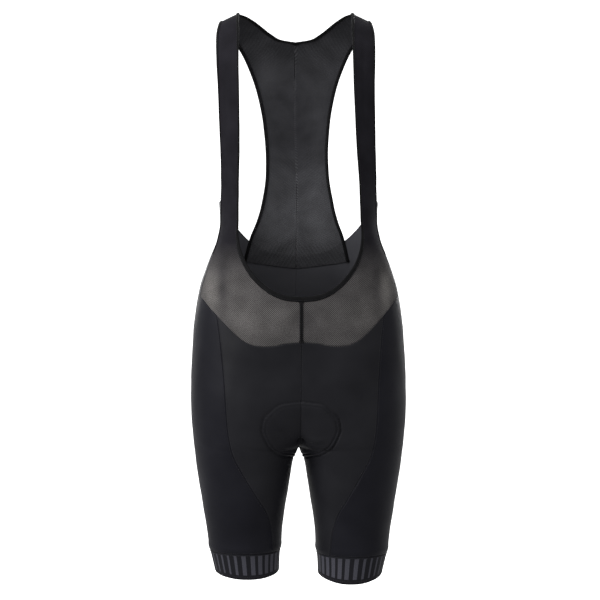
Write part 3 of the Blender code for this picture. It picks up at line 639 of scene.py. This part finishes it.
# ---------------------------------------------------------------------------------------------------
# Bindings. Soft elastic, folded over the raw edge and sewn down with one line of stitches: one length
# round the scoop and up both straps, one on the outer edge of each strap.
# ---------------------------------------------------------------------------------------------------

SCOOP_BINDING, STRAP_BINDING, RACERBACK_BINDING = 0.0075, 0.0045, 0.0050
FOLD = 0.0011  # thickness of the elastic on each face of the cloth


def folded_elastic():
    """Folded nylon elastic: black, satin, with fine ribs across it from the weaving."""
    material, tree, shader = new_material("folded_nylon_elastic", 0.6, sheen=0.01, specular=0.04)
    where = node(tree, "ShaderNodeTexCoord").outputs["UV"]
    ribs = node(tree, "ShaderNodeTexWave", [(where, "Vector")], bands_direction="X", Scale=320.0)
    patches = node(tree, "ShaderNodeTexNoise", [(where, "Vector")], Scale=60.0)
    tree.links.new(ramp(tree, patches.outputs["Fac"], (0.3, "#09090a"), (0.7, "#0f0f10")),
                   shader.inputs["Base Color"])
    bump = node(tree, "ShaderNodeBump", [(ribs.outputs["Fac"], "Height")], Strength=0.35, Distance=0.0002)
    tree.links.new(bump.outputs["Normal"], shader.inputs["Normal"])
    return material


elastic = folded_elastic()


def fold_section(width, cloth_thickness):
    """The folded elastic across the edge: how far in from the edge, and how high over the cloth."""
    t, low = cloth_thickness, -cloth_thickness
    outer = [(width, 0.0002), (width - 0.0006, 0.75 * FOLD), (0.55 * width, FOLD), (0.0009, 0.9 * FOLD),
             (-0.0003, 0.45 * FOLD), (-0.0007, -t / 2), (-0.0003, low - 0.45 * FOLD),
             (0.0009, low - 0.9 * FOLD), (0.55 * width, low - FOLD), (width - 0.0006, low - 0.75 * FOLD),
             (width, low - 0.0002)]
    inner = [(width - 0.0002, low - 0.0001), (0.0002, low - 0.0001), (0.0002, 0.0001),
             (width - 0.0002, 0.0001)]
    return np.array(outer + inner)


def edge_frame(side, edge, inside, lift=0.0):
    """Points of an edge, the way into the cloth from it, and the normal, from q and w of two lines."""
    points, out = worn(side, edge[:, 0], edge[:, 1], lift)
    into = worn(side, inside[:, 0], inside[:, 1], lift)[0] - points
    into -= out * (into * out).sum(-1, keepdims=True)
    return points, into / np.linalg.norm(into, axis=-1, keepdims=True), out


def both_sides(frames):
    """Join the right side's stations, reversed, to the left side's."""
    right, left = frames
    return [np.concatenate([a[::-1], b[1:]]) for a, b in zip(right, left)]


def edging(name, stations, widths, cloth_thickness=MESH_CLOTH, material=elastic):
    """A length of elastic folded over an edge, through stations of edge point, way in and normal."""
    points, into, out = stations
    sections = np.stack([fold_section(width, cloth_thickness) for width in widths])
    rings = points[:, None] + sections[..., :1] * into[:, None] + sections[..., 1:] * out[:, None]
    rings = np.concatenate([rings, rings[:, :1]], axis=1)
    along = np.concatenate(([0], np.cumsum(np.linalg.norm(np.diff(points, axis=0), axis=1))))
    round_it = np.linspace(0, 0.02, rings.shape[1])
    uv = np.stack(np.broadcast_arrays(along[:, None], round_it[None]), -1)
    bm = new_bmesh()
    grid_sheet(bm, rings, np.zeros_like(rings), uv)
    bmesh.ops.remove_doubles(bm, verts=bm.verts, dist=0.000005)
    ends = [edge for edge in bm.edges if edge.is_boundary]
    bmesh.ops.holes_fill(bm, edges=ends, sides=0)
    bmesh.ops.recalc_face_normals(bm, faces=bm.faces)
    write_uv(bm)
    return link_mesh(bm, name, material)


def sewing_thread():
    """Textured polyester sewing thread, dull and a shade lighter than the cloth, so that it just shows."""
    material, tree, shader = new_material("polyester_sewing_thread", 0.6, sheen=0.05, specular=0.1)
    where = node(tree, "ShaderNodeTexCoord").outputs["Object"]
    twist = node(tree, "ShaderNodeTexNoise", [(where, "Vector")], Scale=900.0)
    tree.links.new(ramp(tree, twist.outputs["Fac"], (0.3, "#18181b"), (0.7, "#26262a")),
                   shader.inputs["Base Color"])
    return material


thread = sewing_thread()
STITCH_LENGTH, STITCH_PITCH, STITCH_WIDTH = 0.0023, 0.0030, 0.0006
STITCHED_AT = 0.72  # how far across a binding its stitches run
INWARD_STEP = 0.002  # from an edge to the line inside it that shows which way the cloth lies
BACK_NECK_BINDING = RACERBACK_BINDING + 0.0015


def stitches(name, rows, pitch=STITCH_PITCH, length=STITCH_LENGTH, width=STITCH_WIDTH):
    """Rows of stitches, each row a line of points on the cloth with its normals."""
    bm = bmesh.new()
    for points, out in rows:
        along = np.concatenate(([0], np.cumsum(np.linalg.norm(np.diff(points, axis=0), axis=1))))
        for at_length in np.arange(pitch / 2, along[-1], pitch):
            middle, normal_there, ahead = (
                np.array([np.interp(at_length + step, along, line[:, k]) for k in range(3)])
                for line, step in ((points, 0), (out, 0), (points, pitch / 4)))
            y = Vector(normal_there).normalized()
            x = Vector(ahead - middle)
            x = (x - y * x.dot(y)).normalized()
            turn = Matrix((x * length, x.cross(y) * width, y * width)).transposed().to_4x4()
            bmesh.ops.create_icosphere(bm, subdivisions=1, radius=0.5,
                                       matrix=Matrix.Translation(Vector(middle)) @ turn)
    row = link_mesh(bm, name, thread)
    return row


def scoop_binding_width(u):
    wide_to, narrow_from = 0.42, 0.62
    return STRAP_BINDING + (SCOOP_BINDING - STRAP_BINDING) * np.clip(
        (narrow_from - u) / (narrow_from - wide_to), 0, 1)


def inward_of(patch, us, v_edge, width):
    """q and w of an edge of a panel and of a line just inside it."""
    step = width / np.array([patch.across(u) for u in us])
    v = np.full(len(us), float(v_edge))
    return patch.qw(us, v), patch.qw(us, v + step * (1 if v_edge == 0 else -1))


def bind(edge_name, solid, stations, widths, both_faces=False):
    """Fold elastic over an edge and sew it down with a row near its inner edge, on one face or both."""
    binding = edging(f"{edge_name[0]}_elastic{edge_name[1]}", stations, widths)
    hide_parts(solid)
    points, into, out = stations
    line = points + into * (STITCHED_AT * widths)[:, None]
    rows = [(line + out * FOLD, out)]
    if both_faces:
        rows.append((line - out * (FOLD + MESH_CLOTH), out))
    stitches(f"{edge_name[0]}_stitching{edge_name[1]}", rows)


us = np.linspace(0, 1, 240)
widths = scoop_binding_width(us)
edge, inside = inward_of(bib, us, 1, INWARD_STEP)
stations = both_sides([edge_frame(side, edge, inside) for side in SIDES.values()])
stations[0][len(us) - 1, 0] = smooth(STANCE, 2, SCOOP[0][1])
bind(("scoop", ""), "scoop_binding", stations, np.concatenate([widths[::-1], widths[1:]]))

us = np.linspace(notch, 1, 170)
edge, inside = inward_of(bib, us, 0, INWARD_STEP)
for name, side in SIDES.items():
    bind(("strap", f"_{name}"), f"strap_binding_{name}", edge_frame(side, edge, inside),
         np.full(len(us), STRAP_BINDING))

# ---------------------------------------------------------------------------------------------------
# Tape over the centre front seam of the mesh: a narrow strip of the same elastic, caught under the
# scoop's binding at the top and widening into a small tab at the bottom.
# ---------------------------------------------------------------------------------------------------

TAPE_HALF_WIDTH = 0.0028
TAPE_SECTION = np.array(((-1.0, 0.0002), (-0.86, 0.0009), (-0.4, 0.0013), (0.0, 0.0014), (0.4, 0.0013),
                         (0.86, 0.0009), (1.0, 0.0002), (0.0, 0.0001)))
TAB = 0.004  # length over which each end widens into its tab


def centre_tape():
    low, high = MESH_LOWER[0][1] + 0.0004, SCOOP[0][1] - SCOOP_BINDING + 0.0003
    heights = np.linspace(low, high, 40)
    from_end = np.minimum(heights - low, high - heights)
    widen = 1 + 0.35 * np.clip(1 - from_end / TAB, 0, 1)
    middle, out = worn(LEFT, np.zeros(40), heights)
    middle[:, 0] = smooth(STANCE, 2, heights)
    out = np.stack([np.zeros(40), -np.ones(40), np.zeros(40)], -1)
    sideways = np.stack([np.ones(40), np.zeros(40), np.zeros(40)], -1)
    section = np.stack([TAPE_SECTION[:, 0] * TAPE_HALF_WIDTH, TAPE_SECTION[:, 1]], -1)
    rings = (middle[:, None] + section[None, :, :1] * widen[:, None, None] * sideways[:, None]
             + section[None, :, 1:] * widen[:, None, None] * out[:, None])
    rings = np.concatenate([rings, rings[:, :1]], axis=1)
    uv = np.stack(np.broadcast_arrays((heights - low)[:, None], np.linspace(0, 0.01, 9)[None]), -1)
    bm = new_bmesh()
    grid_sheet(bm, rings, np.zeros_like(rings), uv)
    bmesh.ops.remove_doubles(bm, verts=bm.verts, dist=0.000005)
    bmesh.ops.holes_fill(bm, edges=[edge for edge in bm.edges if edge.is_boundary], sides=0)
    bmesh.ops.recalc_face_normals(bm, faces=bm.faces)
    write_uv(bm)
    tape = link_mesh(bm, "centre_tape", elastic)
    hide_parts("centre_front_tape")
    rows = [(middle + sideways * shift + out * 0.0014, out) for shift in (-0.0017, 0.0017)]
    stitches("tape_stitching", rows)


centre_tape()

# ---------------------------------------------------------------------------------------------------
# Racerback. One piece of a closer, more matt mesh, from inside the back of the shorts up to both
# shoulders. Its foot is sewn inside the shorts; its armhole and neck edges have folded elastic.
# ---------------------------------------------------------------------------------------------------

RACERBACK_FOOT = -0.4050
racerback_outer, back_neck = curve(RACERBACK_OUTER, back=True), curve(BACK_NECK, back=True)
racerback_middle = straight((1, RACERBACK_FOOT), back_neck[0, 1:])
racerback = Patch(low=joined(racerback_middle, back_neck),
                  high=racerback_outer,
                  start=straight((1, RACERBACK_FOOT), racerback_outer[0, 1:]),
                  end=straight(back_neck[-1, 1:], racerback_outer[-1, 1:]))
neck = joints(racerback_middle, back_neck)[0]


def tucked(w):
    """The racerback's foot lies inside the shorts, and comes out to the worn surface above them."""
    above_shorts, inside_shorts = -0.300, -0.350
    return -(SHORTS_CLOTH + TUCK) * np.clip((above_shorts - w) / (above_shorts - inside_shorts), 0, 1)


def back_stretch_and_painted_light(x, y, z):
    """Lighter between the shoulders and near the armholes. Above the shorts' edge it is lighter, painted
    light for light showing through the open mesh, and darker where the shorts lie behind it. Low down it is
    lighter, partly real stretch and partly painted light for the light that falls inside the shorts.
    """
    behind = smooth(WING, 1, np.abs(x - 0.0055))
    # Painted light: above the shorts' edge the mesh is made lighter, for light showing through it; where the
    # shorts lie behind it, it stays darker.
    backlit_above_shorts = np.clip((z - behind) / 0.003, 0, 1)
    low = np.clip((-0.200 - z) / 0.150, 0, 1)
    edges = np.exp(-((np.abs(x) - 0.045) / 0.02) ** 2)
    top = np.exp(-((z + 0.05) / 0.05) ** 2)
    # Lighter low down: partly real stretch, partly painted light for the light that falls in through the
    # scoop.
    return 0.12 + backlit_above_shorts * (0.05 + 0.10 * edges + 0.20 * top) + low * (0.48 + 0.16 * backlit_above_shorts)


back_mesh = knitted_mesh("close_warp_knitted_mesh", "#5a5a5d", "#1e1e21", "#17171a", 0.0016)
us = np.concatenate([[0, 0.0012], np.linspace(0.006, neck, 130), np.linspace(neck, 1, 56)[1:]])
back_grid = np.stack([racerback.qw(np.full(34, u), np.linspace(0, 1, 34)) for u in us])
back, area = cloth("racerback_mesh", [(side, back_grid, tucked, None) for side in SIDES.values()],
                   RACERBACK_CLOTH, back_mesh, roll=0)
add_stretch_and_painted_light(back, back_stretch_and_painted_light)
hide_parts("racerback")

us = np.linspace(0, 1, 200)
edge, inside = inward_of(racerback, us, 1, INWARD_STEP)
for name, side in SIDES.items():
    bind(("armhole", f"_{name}"), f"racerback_binding_{name}",
         edge_frame(side, edge, inside, tucked(edge[:, 1])), np.full(len(us), RACERBACK_BINDING),
         both_faces=True)

us = np.linspace(neck, 1, 110)
edge, inside = inward_of(racerback, us, 0, INWARD_STEP)
inside[0] = (1, edge[0, 1] - INWARD_STEP)
stations = both_sides([edge_frame(side, edge, inside, tucked(edge[:, 1])) for side in SIDES.values()])
bind(("back_neck", ""), "back_neck_binding", stations, np.full(len(stations[0]), BACK_NECK_BINDING),
     both_faces=True)

# ---------------------------------------------------------------------------------------------------
# Shorts. Four panels of warp-knitted nylon and elastane, near black with a soft sheen: a front and an
# outer panel each side. Flat seams with a row of stitches either side join them.
# ---------------------------------------------------------------------------------------------------

BAND_TOP = -0.8530


def stretch_knit(name, dark, light):
    """Warp-knitted nylon and elastane: near black, faintly blue, with a broad soft sheen and fine upright
    ribs. Real ribs are finer than these, which are drawn coarser so that they just show close up. Its
    reverse, by the attribute "reverse", is duller and greyer, and that grey is made lighter still as painted
    light, for the light that falls inside the shorts through the scoop."""
    material, tree, shader = new_material(name, 0.5, sheen=0.008, sheen_tint="#b8b8d0", specular=0.06)
    where = node(tree, "ShaderNodeTexCoord").outputs["UV"]
    ribs = node(tree, "ShaderNodeTexWave", [(where, "Vector")], bands_direction="X", Scale=320.0)
    cloud = node(tree, "ShaderNodeTexNoise", [(where, "Vector")], Scale=14.0, Detail=2.0)
    face = ramp(tree, cloud.outputs["Fac"], (0.3, dark), (0.7, light))
    reverse = node(tree, "ShaderNodeAttribute", attribute_name="reverse").outputs["Fac"]
    mixed = node(tree, "ShaderNodeMix", [(reverse, 0), (face, 6)], data_type="RGBA")
    # Reverse colour: a duller grey, lightened as painted light for the light that falls inside the shorts.
    mixed.inputs[7].default_value = linear("#3e3e42")
    tree.links.new(mixed.outputs[2], shader.inputs["Base Color"])
    grain = node(tree, "ShaderNodeTexNoise", [(where, "Vector")], Scale=900.0)
    height = node(tree, "ShaderNodeMath", [(ribs.outputs["Fac"], 0), (grain.outputs["Fac"], 1)],
                  operation="ADD")
    bump = node(tree, "ShaderNodeBump", [(height.outputs[0], "Height")], Strength=0.18, Distance=0.0002)
    tree.links.new(bump.outputs["Normal"], shader.inputs["Normal"])
    return material


front_knit = stretch_knit("warp_knit_nylon_front", "#131316", "#1a1a1d")
outer_knit = stretch_knit("warp_knit_nylon_outer", "#0e0e13", "#141419")
ON_CLOTH = 0.0001  # how far stitches stand off the cloth
wing_back = curve(WING, back=True)
wing = joined(straight(side_top[-1, 1:], wing_back[0, 1:]), wing_back)


def seam_rows(side, seam, offsets, share=(0.01, 0.99)):
    """Lines beside a seam, as far off it as given, with their normals."""
    shares = np.linspace(*share, 260)
    points, out = worn(side, *at(seam, shares).T)
    along = np.gradient(points, axis=0)
    across = np.cross(along, out)
    across /= np.linalg.norm(across, axis=-1, keepdims=True)
    return [(points + across * offset + out * ON_CLOTH, out) for offset in offsets]


for name, side in SIDES.items():
    front_seam = curve(FRONT_SEAM, shift=SEAM_SHIFT[side])
    front = Patch(low=straight((0, BAND_TOP), front_seam[0, 1:]),
                  high=mesh_lower,
                  start=straight((0, BAND_TOP), mesh_lower[0, 1:]),
                  end=front_seam)
    piece, area = cloth(f"shorts_front_panel_{name}", [(side, panel_grid(front, 0.0016), 0.0, None)],
                        SHORTS_CLOTH, front_knit)
    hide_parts(f"shorts_front_{name}")
    front.along(0.7)
    front.across(0.5)

    back_edge = joined(front_seam, mesh_corner, side_seam, side_top)
    hip_v = joints(front_seam, mesh_corner, side_seam, side_top)[0]
    middle = straight((1, BAND_TOP), wing[-1, 1:])
    crotch = hip_v * height_share(front.start, CROTCH)
    back = Patch(low=straight(front_seam[0, 1:], (1, BAND_TOP)),
                 high=wing,
                 start=back_edge,
                 end=timed(middle, height_share(middle, CROTCH), crotch))
    piece, area = cloth(f"shorts_back_panel_{name}", [(side, panel_grid(back, 0.0031), 0.0, None)],
                        SHORTS_CLOTH, outer_knit)
    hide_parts(f"shorts_back_{name}")
    back.along(0.7)
    back.across(0.5)

    heights = np.linspace(MESH_LOWER[0][1] - 0.002, PAD_FRONT[0][1] + 0.002, 60)
    points, out = worn(side, *place(np.full_like(heights, 0.0012), heights).T)
    rows = [(points + out * ON_CLOTH, out)]
    for seam, offsets in ((front_seam, (-0.0018, 0.0018)), (mesh_lower, (-0.0016,)),
                          (joined(mesh_corner, side_seam), (-0.0016,)), (wing, (0.0030,))):
        rows += seam_rows(side, seam, offsets)
    stitches(f"panel_stitching_{name}", rows)

# ---------------------------------------------------------------------------------------------------
# Leg bands. Wide woven elastic, sewn on as a ring, black with upright grey stripes that widen towards
# the inner leg. The hem below the stripes is plain.
# ---------------------------------------------------------------------------------------------------

BAND_CLOTH = 0.0015
HEM = -0.8880
HEM_SAG = {RIGHT: 0.006, LEFT: 0.009}
BACK_HEM_SAG = 0.003
STRIPES = 29  # round the leg
WIDEST_AT = 0.0  # how far round from the inner leg the stripes are widest
THINNEST_HALF, WIDEST_HALF = 0.15, 0.30  # half a stripe, as a share of its pitch
BAND_HEIGHT, STRIPE_FOOT, STRIPE_HEAD = 0.0415, 0.0075, 0.0392  # from the hem


def woven_band(name, girth):
    """Woven nylon and elastane band: black ground with flat grey stripes, fine ribs along the leg. The
    UV map holds metres round the leg and height above the hem; a stripe takes 0.30 to 0.60 of its pitch."""
    material, tree, shader = new_material(name, 0.6, sheen=0.008, specular=0.04)
    where = node(tree, "ShaderNodeTexCoord").outputs["UV"]
    split = node(tree, "ShaderNodeSeparateXYZ", [(where, "Vector")])

    def sums(operation, first, second):
        made = node(tree, "ShaderNodeMath", operation=operation)
        for k, value in enumerate((first, second)):
            if isinstance(value, (int, float)):
                made.inputs[k].default_value = value
            else:
                tree.links.new(value, made.inputs[k])
        return made.outputs[0]

    turn = sums("DIVIDE", split.outputs["X"], girth)
    place_in_pitch = sums("FRACT", sums("MULTIPLY", turn, float(STRIPES)), 0.0)
    from_middle = sums("ABSOLUTE", sums("SUBTRACT", place_in_pitch, 0.5), 0.0)
    wave = sums("COSINE", sums("MULTIPLY", sums("SUBTRACT", turn, WIDEST_AT), 2 * np.pi), 0.0)
    half_width = sums("ADD", 0.243, sums("MULTIPLY", wave, 0.21))
    half_width = sums("MINIMUM", sums("MAXIMUM", half_width, THINNEST_HALF), WIDEST_HALF)
    in_stripe = sums("LESS_THAN", from_middle, half_width)
    above = sums("GREATER_THAN", split.outputs["Y"], STRIPE_FOOT)
    below = sums("LESS_THAN", split.outputs["Y"], STRIPE_HEAD)
    shown = sums("MULTIPLY", in_stripe, sums("MULTIPLY", above, below))
    ribs = node(tree, "ShaderNodeTexWave", [(where, "Vector")], bands_direction="X", Scale=300.0)
    picks = node(tree, "ShaderNodeTexWave", [(where, "Vector")], bands_direction="Y", Scale=260.0)
    fleck = node(tree, "ShaderNodeTexNoise", [(where, "Vector")], Scale=700.0)
    ground = ramp(tree, fleck.outputs["Fac"], (0.3, "#131316"), (0.7, "#1a1a1e"))
    stripe = ramp(tree, fleck.outputs["Fac"], (0.3, "#323238"), (0.7, "#3e3e45"))
    mixed = node(tree, "ShaderNodeMix", [(shown, 0), (ground, 6), (stripe, 7)], data_type="RGBA")
    tree.links.new(mixed.outputs[2], shader.inputs["Base Color"])
    height = sums("ADD", sums("MULTIPLY", ribs.outputs["Fac"], picks.outputs["Fac"]), shown)
    bump = node(tree, "ShaderNodeBump", [(height, "Height")], Strength=0.3, Distance=0.0003)
    tree.links.new(bump.outputs["Normal"], shader.inputs["Normal"])
    return material


ROUND, HIGH = 220, 22
q = np.linspace(0, 1, ROUND + 1)
facing_front = np.cos((q - 0.25) * 2 * np.pi)
band_girth = float(round_length(np.array(1.0), np.array(HEM)))
band_knit = woven_band("woven_striped_elastic", band_girth)
for name, side in SIDES.items():
    sag = (HEM_SAG[side] * np.maximum(facing_front, 0) ** 2
           + BACK_HEM_SAG * np.minimum(facing_front, 0) ** 2)
    hem = HEM - sag
    rise = np.linspace(0, 1, HIGH + 1)
    heights = hem[:, None] + rise[None] * (BAND_TOP - hem[:, None])
    grid = np.stack([np.broadcast_to(q[:, None], heights.shape), heights], -1)
    uv = np.stack([grid[..., 0] * band_girth, np.broadcast_to(rise * BAND_HEIGHT, heights.shape)], -1)
    piece, area = cloth(f"leg_band_{name}", [(side, grid, 0.0, uv)], BAND_CLOTH, band_knit,
                        roll=0.0004, wrap=band_girth)
    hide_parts(f"leg_gripper_{name}")

    rows = []
    for height in (BAND_TOP + 0.0020, BAND_TOP - 0.0022):
        points, out = worn(side, q, np.full_like(q, height))
        rows.append((points + out * ON_CLOTH, out))
    points, out = worn(side, q, hem + 0.0045)
    rows.append((points + out * ON_CLOTH, out))
    stitches(f"band_stitching_{name}", rows)

# ---------------------------------------------------------------------------------------------------
# Seat pad. Foam covered with brushed knit, thickest under the seat bones and thin at its edge, with
# sewn grooves. It lies inside the crotch, its edge sewn to the shorts.
# ---------------------------------------------------------------------------------------------------

PAD_CLEARANCE, PAD_THICKNESS, PAD_EDGE = 0.0026, 0.0085, 0.0030


def brushed_knit():
    """Brushed polyester knit over foam: black, dull, with a short soft nap."""
    material, tree, shader = new_material("brushed_polyester_over_foam", 0.9, sheen=0.08, specular=0.05)
    where = node(tree, "ShaderNodeTexCoord").outputs["Object"]
    nap = node(tree, "ShaderNodeTexNoise", [(where, "Vector")], Scale=500.0, Detail=4.0)
    tree.links.new(ramp(tree, nap.outputs["Fac"], (0.3, "#18181b"), (0.7, "#26262b")),
                   shader.inputs["Base Color"])
    bump = node(tree, "ShaderNodeBump", [(nap.outputs["Fac"], "Height")], Strength=0.5, Distance=0.0004)
    tree.links.new(bump.outputs["Normal"], shader.inputs["Normal"])
    return material


def seat_pad():
    bm = new_bmesh()
    for side in SIDES.values():
        for back, rim in enumerate(pad_rims):
            top, crotch_point = rim[0, 1:], (back, CROTCH)
            half = Patch(low=straight(top, crotch_point), high=rim, start=straight(top, top),
                         end=straight(crotch_point, (back, PAD_INSEAM)))
            grid = np.stack([half.qw(np.full(25, u), np.linspace(0, 1, 25)) for u in np.linspace(0, 1, 41)])
            q, w = grid[..., 0], grid[..., 1]
            points, out = surface(side, q, w), normal(side, q, w)
            middle = (np.minimum(q, 1 - q) < 1e-6) & (w > CROTCH - 1e-5)
            out[middle, 0] = 0
            out[middle & (w < CROTCH + 1e-5)] = (0, 0, -1)
            out /= np.linalg.norm(out, axis=-1, keepdims=True)
            points[middle, 0] = smooth(STANCE, 2, w)[middle]
            from_rim = nearest(points, surface(side, *rim[::5, 1:].T))[0]
            thick = PAD_EDGE + (PAD_THICKNESS - PAD_EDGE) * np.clip(from_rim / 0.016, 0, 1) ** 0.6
            thick -= 0.0022 * np.exp(-((from_rim - 0.020) / 0.0022) ** 2)
            thick -= 0.0026 * np.exp(-((np.minimum(q, 1 - q) - 0.035) / 0.010) ** 2)
            grid_sheet(bm, points - out * (SHORTS_CLOTH + PAD_CLEARANCE), -out * thick[..., None],
                       np.stack([q, w], -1))
    bmesh.ops.remove_doubles(bm, verts=bm.verts, dist=0.00002)
    bmesh.ops.dissolve_degenerate(bm, edges=bm.edges, dist=0.00002)
    way = bm.verts.layers.float_vector["inward"]
    made = bmesh.ops.extrude_face_region(bm, geom=bm.faces[:], use_keep_orig=True)["geom"]
    for vert in made:
        if isinstance(vert, bmesh.types.BMVert):
            vert.co += vert[way]
    bmesh.ops.recalc_face_normals(bm, faces=bm.faces)
    write_uv(bm)
    pad = link_mesh(bm, "foam_seat_pad", brushed_knit())
    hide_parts("seat_pad")


seat_pad()

# ---------------------------------------------------------------------------------------------------
# Studio: a white floor that curves up into a wall all round, even light from everywhere with a
# stronger soft one at the wearer's right, weaker ones behind, and the camera level with the hips.
# ---------------------------------------------------------------------------------------------------


def studio():
    """A round floor that curves up into a wall all round, so that every side is seen against it."""
    radius, curve_radius, wall_height, floor_z = 5.0, 2.0, 5.0, cad_low.z - 0.45
    profile = [(0.0, floor_z), (radius - curve_radius, floor_z)]
    for turn in np.linspace(0, np.pi / 2, 10)[1:]:
        profile.append((radius - curve_radius + curve_radius * np.sin(turn),
                        floor_z + curve_radius * (1 - np.cos(turn))))
    profile.append((radius, floor_z + wall_height))
    bm = bmesh.new()
    line = [bm.verts.new((x, 0, z)) for x, z in profile]
    edges = [bm.edges.new(pair) for pair in zip(line[:-1], line[1:])]
    bmesh.ops.spin(bm, geom=line + edges, cent=(0, 0, 0), axis=(0, 0, 1), angle=2 * np.pi, steps=64,
                   use_merge=True)
    bmesh.ops.remove_doubles(bm, verts=bm.verts, dist=0.0001)
    bmesh.ops.recalc_face_normals(bm, faces=bm.faces)
    mesh = bpy.data.meshes.new("studio_floor")
    bm.to_mesh(mesh)
    bm.free()
    mesh.shade_smooth()
    paper, _, shader = new_material("matt_white_paper", 0.95, specular=0.1)
    shader.inputs["Base Color"].default_value = linear("#e8e8e8")
    shader.inputs["Emission Color"].default_value = linear("#ffffff")
    shader.inputs["Emission Strength"].default_value = 0.92
    mesh.materials.append(paper)
    floor = bpy.data.objects.new("studio_floor", mesh)
    bpy.context.scene.collection.objects.link(floor)
    floor.visible_diffuse = floor.visible_glossy = floor.visible_shadow = False


def soft_light(name, place_at, aim, size, power):
    lamp = bpy.data.lights.new(name, "AREA")
    lamp.shape, lamp.size, lamp.size_y, lamp.energy = "RECTANGLE", size[0], size[1], power
    thing = bpy.data.objects.new(name, lamp)
    thing.location = place_at
    thing.rotation_euler = (Vector(aim) - Vector(place_at)).to_track_quat("-Z", "Y").to_euler()
    bpy.context.scene.collection.objects.link(thing)


studio()
centre = Vector((0.0079, 0, (cad_low.z + cad_high.z) / 2 - 0.0068))
soft_light("key", (-2.3, -1.4, 0.6), centre, (1.2, 1.8), 92)
soft_light("top", (-0.3, -1.3, 1.7), (0.0, 0.05, -0.40), (0.9, 0.9), 26)
soft_light("behind", (1.3, 2.1, 0.5), centre, (1.2, 1.6), 45)
soft_light("behind_left", (-1.2, 2.2, 0.4), centre, (1.2, 1.6), 25)

world = bpy.data.worlds.new("studio_air")
bpy.context.scene.world = world
world.use_nodes = True
world.node_tree.nodes["Background"].inputs["Color"].default_value = linear("#ffffff")
world.node_tree.nodes["Background"].inputs["Strength"].default_value = 0.8
bpy.context.scene.view_settings.view_transform = "Standard"

DISTANCE, AZIMUTH = 2.2, np.radians(2.6)
lens = bpy.data.cameras.new("camera")
lens.lens, lens.sensor_width = 82.5, 36.0
camera = bpy.data.objects.new("camera", lens)
camera.location = centre + Vector((-DISTANCE * np.sin(AZIMUTH), -DISTANCE * np.cos(AZIMUTH), 0))
camera.rotation_euler = (centre - camera.location).to_track_quat("-Z", "Y").to_euler()
bpy.context.scene.collection.objects.link(camera)
bpy.context.scene.camera = camera
